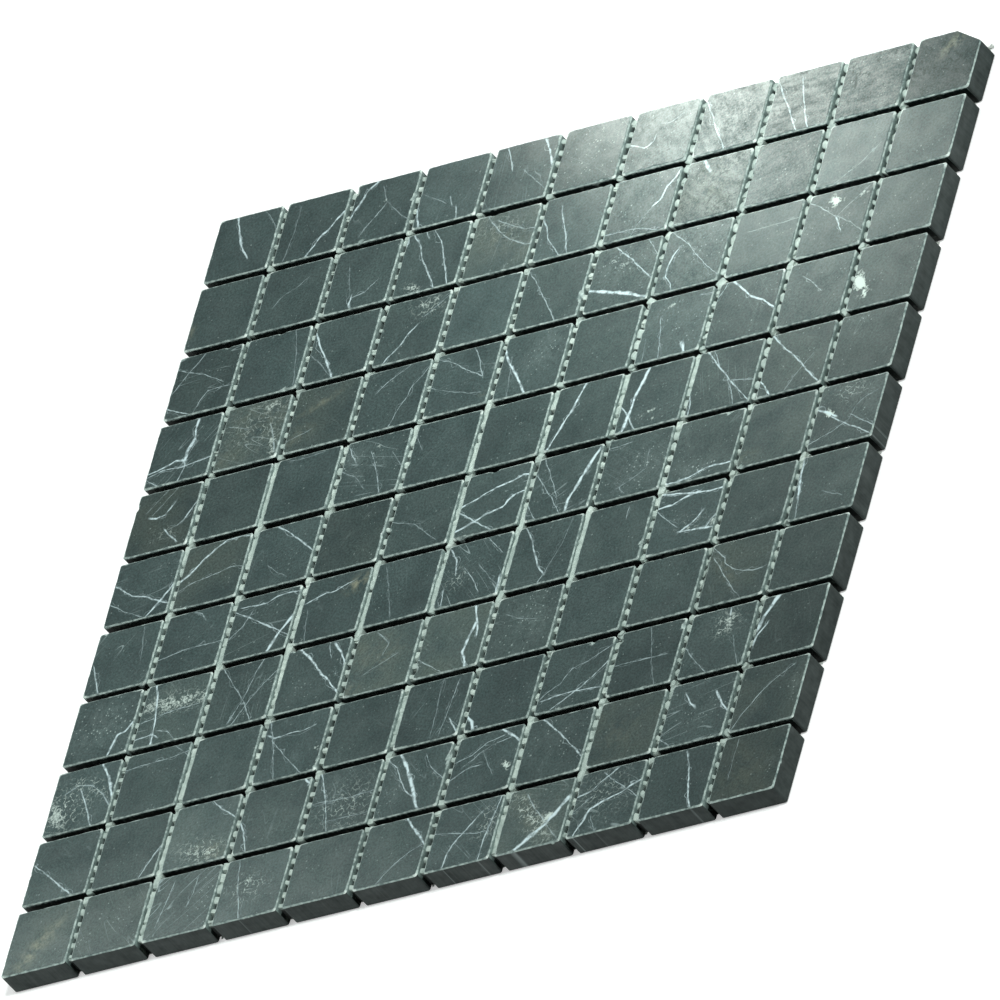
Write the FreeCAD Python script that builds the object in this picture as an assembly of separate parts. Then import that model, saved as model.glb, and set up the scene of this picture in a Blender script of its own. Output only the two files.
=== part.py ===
"""Sheet of square honed marble chips on a glass-fibre net, lying flat with its face up.

Millimetres. +Z is up, out of the honed face. +X runs along a row of chips, and +Y runs from
the front of the sheet to its back, where the first row is. The origin is under the middle
of the sheet, on the plane that the net rests on.
"""

import FreeCAD
import Part
import os

# The grid of chips
COLUMNS = 11
ROWS = 11
CHIP_SIDE = 25.4
CHIP_THICKNESS = 8.0
JOINT_WIDTH = 2.56

# Eased edges of each chip
ARRIS = 0.35
CORNER_FLAT = 0.6

# The corner that has broken off the chip at the back right, measured along its two edges
BREAK_ALONG_BACK = 11.3
BREAK_ALONG_SIDE = 6.8

# The net: warps run along Y underneath, and wefts run along X on top of them
THREAD_PITCH = 4.4
WARP_WIDTH = 0.9
WARP_THICKNESS = 0.25
WEFT_WIDTH = 1.1
WEFT_THICKNESS = 0.25
NET_INSET = 1.5

# The line of adhesive that stands on the net between two columns of chips
GLUE_HEIGHT = 1.2
GLUE_END_INSET = 2.5

pitch = CHIP_SIDE + JOINT_WIDTH
sheet_length_x = COLUMNS * CHIP_SIDE + (COLUMNS - 1) * JOINT_WIDTH
sheet_length_y = ROWS * CHIP_SIDE + (ROWS - 1) * JOINT_WIDTH
weft_bottom = WARP_THICKNESS
chip_bottom = WARP_THICKNESS + WEFT_THICKNESS
chip_top = chip_bottom + CHIP_THICKNESS


def chip_centre(column, row):
    """The middle of a chip's underside, counting columns from the left and rows from the back."""
    x = (column - (COLUMNS - 1) / 2) * pitch
    y = ((ROWS - 1) / 2 - row) * pitch
    return FreeCAD.Vector(x, y, chip_bottom)


def prism(corners, height):
    """An upright solid on a closed outline of corner points."""
    outline = Part.makePolygon(corners + corners[:1])
    return Part.Face(outline).extrude(FreeCAD.Vector(0, 0, height))


def is_upright(edge):
    """True for an edge that runs along Z."""
    start, end = edge.Vertexes[0].Point, edge.Vertexes[-1].Point
    return abs(start.x - end.x) + abs(start.y - end.y) < 1e-6


def is_on_face(edge):
    """True for an edge in the plane of the honed face."""
    return all(abs(vertex.Z - CHIP_THICKNESS) < 1e-6 for vertex in edge.Vertexes)


def ease_edges(block):
    """Rubs a flat on the upright edges of a sawn block and on the arris round its honed face."""
    blunt = block.makeChamfer(CORNER_FLAT, [e for e in block.Edges if is_upright(e)])
    return blunt.makeChamfer(ARRIS, [e for e in blunt.Edges if is_on_face(e)])


def whole_chip():
    """One chip, centred over the origin."""
    half = CHIP_SIDE / 2
    corners = [
        FreeCAD.Vector(-half, -half, 0),
        FreeCAD.Vector(half, -half, 0),
        FreeCAD.Vector(half, half, 0),
        FreeCAD.Vector(-half, half, 0),
    ]
    return ease_edges(prism(corners, CHIP_THICKNESS))


def broken_chip():
    """The chip at the back right, whose outer corner is gone. The break itself stays sharp."""
    half = CHIP_SIDE / 2
    corner_piece = prism(
        [
            FreeCAD.Vector(half, half, 0),
            FreeCAD.Vector(half - BREAK_ALONG_BACK, half, 0),
            FreeCAD.Vector(half, half - BREAK_ALONG_SIDE, 0),
        ],
        CHIP_THICKNESS,
    )
    return whole_chip().cut(corner_piece)


def chip_row(row, chip, last_chip):
    """The chips of one row, as separate solids. last_chip takes the place at the right end."""
    solids = []
    for column in range(COLUMNS):
        shape = (last_chip if column == COLUMNS - 1 else chip).copy()
        shape.translate(chip_centre(column, row))
        solids.extend(shape.Solids)
    return Part.makeCompound(solids)


def thread_places(net_length):
    """The middles of the threads across a net of that length, spaced evenly about its middle."""
    count = int(net_length // THREAD_PITCH) + 1
    return [(index - (count - 1) / 2) * THREAD_PITCH for index in range(count)]


def threads_along_y():
    """The warps, which the whole sheet rests on."""
    length = sheet_length_y - 2 * NET_INSET
    span = sheet_length_x - 2 * NET_INSET - WARP_WIDTH
    solids = []
    for x in thread_places(span):
        corner = FreeCAD.Vector(x - WARP_WIDTH / 2, -length / 2, 0)
        solids.append(Part.makeBox(WARP_WIDTH, length, WARP_THICKNESS, corner))
    return Part.makeCompound(solids)


def threads_along_x():
    """The wefts, which cross over the warps and carry the chips."""
    length = sheet_length_x - 2 * NET_INSET
    span = sheet_length_y - 2 * NET_INSET - WEFT_WIDTH
    solids = []
    for y in thread_places(span):
        corner = FreeCAD.Vector(-length / 2, y - WEFT_WIDTH / 2, weft_bottom)
        solids.append(Part.makeBox(length, WEFT_WIDTH, WEFT_THICKNESS, corner))
    return Part.makeCompound(solids)


def glue_lines():
    """The adhesive lines, each filling the foot of the joint between two columns of chips."""
    length = sheet_length_y - 2 * GLUE_END_INSET
    solids = []
    for joint in range(COLUMNS - 1):
        left_wall = chip_centre(joint, 0).x + CHIP_SIDE / 2
        corner = FreeCAD.Vector(left_wall, -length / 2, chip_bottom)
        solids.append(Part.makeBox(JOINT_WIDTH, length, GLUE_HEIGHT, corner))
    return Part.makeCompound(solids)


def export(shape, node):
    """Writes one node and prints what it holds."""
    shape.exportStep(os.path.join("parts", node + ".step"))
    print(node, len(shape.Solids), "solids", round(shape.Volume, 1), "mm3")


os.makedirs("parts", exist_ok=True)
chip = whole_chip()
corner_chip = broken_chip()
for row in range(ROWS):
    export(chip_row(row, chip, corner_chip if row == 0 else chip), "tile_row_%02d" % (row + 1))
export(threads_along_y(), "net_warp_threads")
export(threads_along_x(), "net_weft_threads")
export(glue_lines(), "glue_lines")
print("sheet", sheet_length_x, "by", sheet_length_y, "by", chip_top, "mm")
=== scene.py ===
# %% [markdown]
# # A sheet of black marble mosaic
#
# The real object is a flat sheet of 11 by 11 sawn marble chips. They are glued to an open
# glass-fibre net, and lie with their honed faces up. The stone is nearly black, with white
# calcite veins that end wherever a chip was cut from its slab. The joints are still empty
# of grout, so the net and the squeezed-up adhesive show between the chips.
#
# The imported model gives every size. It is loaded first, and its box is kept, because
# nothing made here may be larger than it is.

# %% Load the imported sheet
import math
from functools import reduce

import bpy
import numpy as np
from mathutils import Matrix, Vector


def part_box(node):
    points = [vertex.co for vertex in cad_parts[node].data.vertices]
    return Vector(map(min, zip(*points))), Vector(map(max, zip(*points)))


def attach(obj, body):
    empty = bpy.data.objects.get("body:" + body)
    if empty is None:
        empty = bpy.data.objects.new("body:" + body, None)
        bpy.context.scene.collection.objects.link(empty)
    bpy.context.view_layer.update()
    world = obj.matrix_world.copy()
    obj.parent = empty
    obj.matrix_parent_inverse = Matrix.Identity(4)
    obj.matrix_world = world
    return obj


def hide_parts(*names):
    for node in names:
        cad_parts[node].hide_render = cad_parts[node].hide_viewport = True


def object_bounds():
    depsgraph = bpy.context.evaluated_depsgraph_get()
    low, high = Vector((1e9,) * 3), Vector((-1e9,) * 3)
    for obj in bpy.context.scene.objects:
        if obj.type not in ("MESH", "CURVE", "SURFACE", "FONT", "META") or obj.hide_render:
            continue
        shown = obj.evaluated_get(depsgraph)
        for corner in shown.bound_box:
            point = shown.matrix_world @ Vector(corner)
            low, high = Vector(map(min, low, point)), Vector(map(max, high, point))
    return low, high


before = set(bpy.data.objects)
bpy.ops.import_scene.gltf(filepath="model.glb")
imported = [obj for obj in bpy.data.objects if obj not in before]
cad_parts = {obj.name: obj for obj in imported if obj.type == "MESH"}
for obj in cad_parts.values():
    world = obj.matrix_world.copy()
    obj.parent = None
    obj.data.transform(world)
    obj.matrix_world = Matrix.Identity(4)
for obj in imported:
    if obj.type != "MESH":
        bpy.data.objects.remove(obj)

MM = 0.001
cad_low, cad_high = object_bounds()
row_low, row_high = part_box("tile_row_02")
glue_low, glue_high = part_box("glue_lines")
net_low, net_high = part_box("net_weft_threads")

CHIPS_A_ROW = 11
JOINT = 2.56 * MM
CHIP = (row_high.x - row_low.x - (CHIPS_A_ROW - 1) * JOINT) / CHIPS_A_ROW
PITCH = CHIP + JOINT
HALF_SHEET = row_high.x
CHIP_BOTTOM, CHIP_TOP = row_low.z, row_high.z
print("chips", round(CHIP / MM, 2), "mm wide, every", round(PITCH / MM, 2), "mm")

# %% [markdown]
# ## The camera
#
# The photograph shows the sheet as a slanted diamond with almost no perspective: opposite
# sides stay parallel. Only a long lens far away sees it like that. The near corner of the
# sheet points down and to the right, so the camera is turned about its own line of sight.
# Its axes are built by hand: the line of sight, then a level right and up, then the turn.

# %% Place the camera
AZIMUTH, ELEVATION, ROLL = (math.radians(a) for a in (44.862, 35.180, -44.035))
LENS = 1400
DISTANCE = 12.226
AIM = Vector((3.05, -0.62, 8.5)) * MM

sight = Vector((
    math.sin(AZIMUTH) * math.cos(ELEVATION),
    -math.cos(AZIMUTH) * math.cos(ELEVATION),
    math.sin(ELEVATION),
))
level_right = Vector((math.cos(AZIMUTH), math.sin(AZIMUTH), 0))
level_up = sight.cross(level_right)
right = level_right * math.cos(ROLL) + level_up * math.sin(ROLL)
up = level_up * math.cos(ROLL) - level_right * math.sin(ROLL)

camera = bpy.data.objects.new("camera", bpy.data.cameras.new("camera"))
camera.data.lens = LENS
camera.data.clip_start = 1
camera.data.clip_end = 40
camera.matrix_world = Matrix.Translation(AIM + sight * DISTANCE) @ Matrix(
    (right, up, sight)
).transposed().to_4x4()
bpy.context.collection.objects.link(camera)
bpy.context.scene.camera = camera
print("camera", [round(v, 2) for v in camera.location])

# %% [markdown]
# ## Helpers for node trees
#
# Shader trees and Geometry Nodes trees are wired in the same way, so a few short helpers
# serve both. A value given to a socket is either a number, which is typed into the socket,
# or another node's output, which is linked to it.

# %% Wire nodes
def add(tree, kind, sockets=None, **settings):
    """A new node, with its settings and its input sockets filled in."""
    node = tree.nodes.new(kind)
    for name, value in settings.items():
        setattr(node, name, value)
    for name, value in (sockets or {}).items():
        if isinstance(value, bpy.types.NodeSocket):
            tree.links.new(value, node.inputs[name])
        else:
            node.inputs[name].default_value = value
    return node


def calc(tree, operation, *values, clamp=False):
    """One Math node. Returns its output socket."""
    sockets = dict(enumerate(values))
    return add(tree, "ShaderNodeMath", sockets, operation=operation, use_clamp=clamp).outputs[0]


def vector_calc(tree, operation, *values):
    """One Vector Math node. Returns its vector output."""
    sockets = dict(enumerate(values))
    return add(tree, "ShaderNodeVectorMath", sockets, operation=operation).outputs[0]


def scaled(tree, vector, factor):
    """A vector times a number."""
    sockets = {0: vector, "Scale": factor}
    return add(tree, "ShaderNodeVectorMath", sockets, operation="SCALE").outputs[0]


def strongest(tree, masks):
    """The largest of several masks, place by place."""
    return reduce(lambda one, other: calc(tree, "MAXIMUM", one, other), masks)


def remap(tree, value, start, end, low=0.0, high=1.0, smooth=True):
    """Turns a value that runs from start to end into one that runs from low to high."""
    return add(
        tree,
        "ShaderNodeMapRange",
        {"Value": value, "From Min": start, "From Max": end, "To Min": low, "To Max": high},
        interpolation_type="SMOOTHSTEP" if smooth else "LINEAR",
    ).outputs[0]


def noise(tree, where, scale, detail=2.0, roughness=0.5, flat=False):
    """Cloudy noise from about 0 to 1, in cells of about 1/scale metres. Flat noise is quicker."""
    sockets = {"Vector": where, "Scale": scale, "Detail": detail, "Roughness": roughness}
    kind = "2D" if flat else "3D"
    return add(tree, "ShaderNodeTexNoise", sockets, noise_dimensions=kind).outputs


# Where a Mix node set to colours has its factor, its two colours and its result.
FACTOR, UNDER, OVER, MIXED = 0, 6, 7, 2


def blend(tree, factor, under, over, how="MIX"):
    """Lays one colour over another. Returns the mixed colour."""
    under, over = ((*c, 1) if isinstance(c, tuple) else c for c in (under, over))
    sockets = {FACTOR: factor, UNDER: under, OVER: over}
    return add(tree, "ShaderNodeMix", sockets, data_type="RGBA", blend_type=how).outputs[MIXED]


def new_group(name, kind, inputs, outputs):
    """An empty node group with named sockets, and its input and output nodes."""
    tree = bpy.data.node_groups.new(name, kind)
    for direction, sockets in (("INPUT", inputs), ("OUTPUT", outputs)):
        for socket_name, socket_kind, *start in sockets:
            socket = tree.interface.new_socket(
                socket_name, in_out=direction, socket_type="NodeSocket" + socket_kind
            )
            if start:
                socket.default_value = start[0]
    given, made = tree.nodes.new("NodeGroupInput"), tree.nodes.new("NodeGroupOutput")
    return tree, given.outputs, made.inputs


print("helpers ready")

# %% [markdown]
# ## The veins, read from the photograph
#
# Every chip has veins of its own, and the bold ones are what the eye remembers. They are
# drawn as a stone restorer would sketch them: a line per vein, with the chip's row and
# column, how strong the vein is, and then points in hundredths of the chip's side, across
# from its left edge and down from its back edge.

# %% Sketch of the veins
VEIN_SKETCH = """
1 1 bold 28 0 36 23 44 44 51 59 62 73
1 1 faint 75 4 92 26 99 37
1 2 bold 100 36 91 44 83 59 70 70 61 86 53 99
1 2 faint 22 13 22 55 17 95
1 3 bold 32 2 18 13 12 29 4 46 0 57
1 3 fine 56 42 44 59 27 85
1 3 faint 44 14 54 37 78 62 98 78
1 4 bold 0 59 2 73 11 98
1 4 faint 2 42 45 68
1 4 clear 52 62 57 74
1 4 clear 66 80 70 97
1 5 clear 18 4 25 20 33 40
1 5 bold 77 4 88 24 100 53
1 5 faint 55 48 99 88
1 7 clear 1 53 15 57 28 64 38 55 39 48
1 7 faint 48 29 60 30 74 20
1 8 clear 1 11 16 37 26 59 37 75 49 97
1 9 clear 2 8 17 36 29 55 42 80 53 100
1 9 clear 41 15 48 38 56 60 65 88 71 100
2 2 faint 24 60 35 46 54 38 67 27
2 3 bold 41 81 40 91 44 99
2 3 fine 42 81 61 77 76 63
2 3 faint 25 30 30 50 38 76
2 4 clear 9 0 24 21 34 47 49 70 67 100
2 4 clear 41 1 58 23 69 51 80 79 87 100
2 4 clear 28 0 35 11
2 4 clear 2 0 2 13 0 26
2 5 cream 36 13 58 26 84 38 99 40
2 5 cream 18 4 40 30 62 49 90 64 99 66
2 6 clear 0 30 10 47 17 66 30 83 44 100
2 6 clear 27 19 31 34 42 58 50 83 56 100
2 7 bold 100 2 94 17 83 30 79 50 70 55
2 7 faint 70 55 51 81 44 100
2 7 fine 0 86 21 87 43 87 66 91 87 99
2 8 broad 24 2 37 20
2 10 faint 87 51 68 72 47 87 28 100
3 1 fine 0 19 21 27 50 38 81 56
3 1 fine 39 3 21 29 2 59
3 1 fine 94 66 62 66 54 78 47 100
3 1 clear 0 81 10 86 24 92 40 99
3 2 faint 75 3 85 38 93 81 97 100
3 3 bold 0 14 14 42 33 72 48 100
3 3 faint 0 50 23 72 42 94
3 4 fine 97 10 80 23 67 33
3 4 clear 56 48 45 59 39 74 24 89 16 100
3 6 fine 0 3 19 27 38 57 52 76 65 98
3 7 broad 0 63 32 73 64 83 83 91 98 97
3 7 clear 26 0 45 16 60 29 74 44 98 66
3 7 fine 77 0 100 31
3 8 fine 7 3 37 29 62 57 79 74 98 91
3 8 clear 23 31 16 42 12 59 13 74 24 87 29 100
3 9 faint 23 33 100 30
3 10 fine 0 10 22 23 50 45
3 10 clear 50 45 57 56 64 70
3 10 faint 52 44 76 60 99 79
3 10 faint 54 42 74 22 90 8
4 1 broad 62 0 61 19 64 36 57 53 57 67
4 1 clear 57 67 60 76 54 99
4 1 bold 0 76 22 72 41 64 57 67
4 1 clear 0 81 28 75 58 77 81 74 98 71
4 1 fine 0 84 21 99
4 2 cream 78 45 87 63 95 88
4 2 faint 10 31 45 42
4 3 faint 2 80 35 70
4 4 fine 97 15 91 25 78 40 76 53 66 70 57 99
4 4 fine 66 2 55 10 36 21 23 34
4 5 fine 0 6 18 13 37 24 56 37 81 52
4 5 fine 57 1 67 17 75 36 83 53
4 5 faint 2 52 27 63 46 69 67 76 86 79
4 6 bold 0 17 9 38 28 64 39 80 51 100
4 6 faint 14 34 19 67 23 99
4 8 fine 25 34 31 59 34 76 38 100
4 8 faint 9 63 13 100
4 8 broad 71 84 78 99
4 8 fine 83 10 99 10
4 9 bold 21 1 38 17 57 34 79 46 100 62
4 9 fine 11 3 0 27
4 10 fine 27 26 43 38 58 53
5 1 bold 27 42 38 45 49 43
5 1 clear 49 43 56 35 62 25
5 1 clear 97 35 92 46 86 57
5 1 cream 86 57 78 64 66 68
5 1 clear 58 68 68 79 82 91
5 1 faint 46 0 20 30
5 1 faint 60 2 30 38
5 3 faint 18 5 37 7 70 4
5 4 fine 1 3 10 20 20 35
5 4 fine 43 26 53 45 63 68 73 96
5 4 faint 3 47 26 60 44 81
5 4 faint 79 35 98 60
5 5 faint 2 18 15 41
5 7 bold 41 2 35 24 30 39 19 66 6 99
5 8 broad 29 3 24 26 19 43 18 62 15 79 11 100
5 8 clear 2 58 16 75 32 100
5 9 clear 11 0 38 31 57 53 79 77 98 97
5 9 fine 23 3 38 31
5 9 fine 54 51 66 73 76 97
5 9 clear 0 64 6 81 6 99
5 9 fine 66 58 100 65
5 10 clear 0 0 19 20 34 33 58 56 75 76 99 99
5 10 bold 0 72 11 84 22 99
5 10 faint 44 97 58 71 75 48
6 1 clear 4 36 35 58 60 66 100 86
6 1 bold 100 53 87 75 68 98
6 1 fine 4 65 32 83 62 98
6 2 bold 0 55 15 44 29 26 49 10 60 3
6 2 clear 60 3 80 1 98 4
6 2 fine 4 69 24 60 60 54 82 49 100 53
6 3 clear 28 0 50 15 78 38 100 56
6 3 faint 32 64 50 79 67 89
6 5 faint 1 44 38 56 80 90
6 6 bold 0 50 26 40 49 30 71 26 90 20 100 21
6 6 bold 2 88 20 82 45 71 70 65 73 62 74 57 84 50 100 46
6 6 clear 1 58 26 76 60 99
6 7 broad 95 8 87 25 78 47 72 64 65 80 65 100
6 7 fine 2 26 21 50 38 72 54 96
6 7 fine 10 5 24 30 43 67
6 7 fine 2 76 17 97
6 8 fine 0 14 33 11
6 8 faint 69 33 72 61 50 75 33 83 44 92
6 9 bold 0 97 22 97 38 94 55 87 71 84 100 85
6 11 clear 1 36 14 43 28 53 44 65 60 74 83 87 100 97
6 11 fine 2 90 33 78 52 67
6 11 bold 13 42 24 47 33 53
6 11 faint 57 62 61 45 72 33 88 27
6 11 fine 58 57 100 84
7 1 clear 5 53 25 99
7 1 faint 72 7 74 20 78 40 80 56
7 2 fine 1 70 20 66 39 62 58 61 100 62
7 2 cream 44 4 53 8 61 18
7 3 clear 0 20 32 38 62 56 85 70 100 80
7 3 broad 100 47 90 63 82 75 72 99
7 3 clear 10 15 49 18 62 11 76 8 100 10
7 3 fine 28 26 18 48 1 65
7 4 clear 4 36 17 32 33 26 44 27 58 22 75 16
7 4 faint 11 50 19 97
7 5 faint 14 11 26 42 42 94
7 6 clear 5 8 17 25 22 47
7 6 fine 36 44 53 64 67 86
7 6 fine 64 5 89 30
7 6 clear 9 72 12 96
7 6 faint 58 44 97 86
7 6 bold 97 72 98 97
7 7 clear 12 3 26 25 37 50 48 72 59 86
7 7 fine 59 86 53 99
7 7 faint 83 5 78 39 67 67 60 86
7 8 fine 62 12 62 24
7 9 bold 0 3 27 7 55 13 82 15 100 15
7 9 bold 3 25 22 24 38 17 60 12
7 9 fine 0 28 19 46 39 62
7 9 bold 47 72 72 74 100 77
7 9 bold 50 70 66 60 76 46
7 9 clear 88 74 95 62 100 55
7 11 bold 2 4 4 38 8 65
7 11 fine 8 49 12 98
7 11 faint 47 65 78 78
8 1 bold 100 51 90 65 79 68 75 82 71 98
8 2 fine 3 60 22 56 52 50 90 49
8 2 bold 12 0 19 21 23 40 27 62 29 82 30 99
8 2 clear 1 85 27 82 36 88
8 2 fine 36 78 52 83 66 97
8 3 fine 100 24 82 42 71 56 60 74 46 99
8 3 fine 72 0 64 18 60 40 53 65 40 93
8 3 fine 10 4 32 32 57 65 74 96
8 4 bold 18 0 33 13 50 32 67 53 80 65 100 88
8 4 fine 65 0 68 12 73 25
8 4 bold 75 7 87 21 96 35 100 49
8 5 cream 32 7 43 16 53 27 49 40
8 5 faint 26 69 46 59 74 47
8 6 bold 72 0 79 21 86 42 87 50
8 6 broad 80 30 76 47 71 73 78 87 82 100
8 6 fine 0 67 19 81 42 96
8 7 faint 20 30 42 41 67 47
8 10 fine 4 8 24 25 26 34 43 48 60 55 79 59 93 56
8 10 fine 7 23 54 85
8 10 faint 40 70 68 99
9 1 bold 69 1 81 19 92 41 100 62
9 1 clear 46 38 58 60 76 99
9 1 cream 21 36 39 27 61 33 83 52 97 71
9 2 fine 0 23 24 21 51 20 74 19 100 15
9 2 faint 74 1 99 22
9 4 clear 7 25 16 31 41 28 60 29 77 25
9 4 fine 3 3 14 30 22 55 34 97
9 4 fine 16 36 41 63 77 99
9 6 faint 54 4 53 21 56 51 57 93
9 6 fine 79 12 76 49 71 93
9 6 clear 82 72 100 96
9 7 broad 0 74 10 86 16 100
9 8 fine 2 79 10 69 30 58 42 38 64 31 83 22 99 13
9 8 clear 28 96 50 82 69 69 89 50 99 38
9 8 clear 8 80 28 77 56 76 97 79
9 9 faint 46 4 53 29 61 60 75 97
9 9 fine 6 52 33 52 80 53
9 10 fine 1 51 21 76 42 96
9 10 clear 58 0 60 14
9 10 faint 74 50 92 97
9 11 thick 23 0 15 15 7 32 1 49
9 11 bold 15 43 5 60 0 76
10 1 clear 5 37 33 60 61 85 80 100
10 2 clear 97 55 87 74 76 97
10 3 clear 55 1 73 18 90 29 100 37
10 4 clear 0 47 11 66 22 99
10 4 bold 89 1 100 12
10 5 clear 4 1 14 25 22 47 30 72 38 100
10 5 fine 1 48 37 50 67 50 97 49
10 5 faint 32 82 56 82 97 83
10 6 broad 19 1 32 22 43 42 54 64 62 83 72 100
10 6 clear 0 5 18 22 29 42 40 61 55 75
10 6 fine 62 14 73 33 90 50 100 58
10 7 bold 64 0 81 12 99 26
10 7 fine 1 40 26 32 40 22 45 17 70 12
10 7 fine 18 47 31 39 40 31 59 22 83 18
10 7 fine 1 67 15 58 31 51 45 51
10 7 faint 45 33 55 50 68 70
10 8 clear 19 0 28 8 44 22 64 42 83 61 99 78
10 10 bold 25 19 33 32 43 43
10 10 bold 74 28 86 46 100 63
10 10 fine 1 83 22 100
10 11 fine 78 13 54 29 32 51 13 79 4 99
11 3 fine 28 14 17 77
11 3 fine 65 16 64 38 60 55
11 4 fine 18 0 22 27 29 55 37 79 42 100
11 6 bold 58 0 71 17 85 33 98 49
11 6 fine 99 49 80 56 63 68 49 82 38 96
11 7 clear 68 22 52 43 35 64 30 79 29 100
11 7 clear 95 1 92 24 85 63 84 100
11 7 fine 1 39 27 44 65 53 82 54
11 8 thick 97 31 83 51 69 67 50 82 28 99
11 8 cream 28 12 44 35 61 54 83 82 94 93
11 9 clear 0 36 21 32 34 19 48 10 56 4
11 9 fine 33 75 45 100
11 9 fine 0 60 25 42
11 9 bold 10 100 23 74 26 61 42 54 73 44 84 38 100 32
11 9 fine 37 7 56 24 78 40 100 58
11 10 clear 53 7 60 26 66 49
11 10 bold 66 49 71 71 81 100
11 11 faint 22 8 22 64
"""

# Half the width of a vein in millimetres, and how white it is.
VEIN_KINDS = {
    "thick": (0.80, 0.95),
    "broad": (0.50, 0.92),
    "bold": (0.32, 0.86),
    "clear": (0.20, 0.66),
    "fine": (0.10, 0.48),
    "faint": (0.11, 0.26),
    "cream": (0.18, 0.40),
}


def read_veins(sketch):
    """The sketch as a dictionary: the veins of each (row, column)."""
    veins = {}
    for line in sketch.strip().splitlines():
        row, column, kind, *numbers = line.split()
        points = np.array(numbers, float).reshape(-1, 2) / 100
        veins.setdefault((int(row), int(column)), []).append((kind, points))
    return veins


veins = read_veins(VEIN_SKETCH)
print(sum(map(len, veins.values())), "veins on", len(veins), "chips")

# %% [markdown]
# ## How a vein reaches the material
#
# A material can draw a crisp line if it knows how far each point is from it. So each chip's
# face is a mesh with a point about every millimetre, and each point stores three numbers
# for a vein: its distance to one side or the other, half the vein's width, and its
# strength, which fades beyond the vein's ends. Two veins that cross need separate layers,
# and veins that stay well apart share one.

# %% Measure the distance to a vein
VEIN_LAYERS = 5
FAR = 1e9

# In millimetres: how far a vein fades beyond its ends, and how far apart the veins of one
# layer stay.
END_FADE = 1.2
APART = 6.0


def distance_to_line(places, points):
    """For places in millimetres: the signed distance to a line, and how far past its ends."""
    best = np.full(len(places), FAR)
    signed = np.zeros(len(places))
    beyond = np.zeros(len(places))
    last = len(points) - 2
    for i in range(len(points) - 1):
        start, run = points[i], points[i + 1] - points[i]
        length = np.linalg.norm(run)
        along = (places - start) @ run / length
        side = ((places - start) @ np.array((-run[1], run[0]))) / length
        held = np.clip(along, -FAR if i == 0 else 0, FAR if i == last else length)
        gap = np.linalg.norm(places - start - held[:, None] * run / length, axis=1)
        nearer = gap < best
        best[nearer] = gap[nearer]
        signed[nearer] = np.where(side < 0, -gap, gap)[nearer]
        before = -along if i == 0 else np.zeros_like(along)
        after = along - length if i == last else np.zeros_like(along)
        beyond[nearer] = np.maximum(np.maximum(before, after), 0)[nearer]
    return signed, beyond


def sort_into_layers(chip_veins):
    """Shares a chip's veins out, so that veins in the same layer stay well apart."""
    layers = [[] for _ in range(VEIN_LAYERS)]
    for kind, points in chip_veins:
        line = points * CHIP / MM
        fine = np.concatenate([np.linspace(a, b, 8) for a, b in zip(line, line[1:])])
        room = [
            min((np.linalg.norm(fine[:, None] - other[None], axis=2).min()
                 for _, _, other in layer), default=FAR)
            for layer in layers
        ]
        free = next((i for i, gap in enumerate(room) if gap > APART), int(np.argmax(room)))
        layers[free].append((kind, line, fine))
    return layers


layers_of = {place: sort_into_layers(found) for place, found in veins.items()}
print("most layers on one chip:", max(sum(map(bool, used)) for used in layers_of.values()))

# %% [markdown]
# ## Smudges
#
# Some chips also carry soft marks: cream patches of calcite, beige haze from iron in the
# stone, grey dust with white flecks, and nets of healed cracks. These are ovals in the same
# sketch units: the middle, the two half sizes, the turn in degrees (clockwise as seen in the
# sketch) and the strength.

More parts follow.
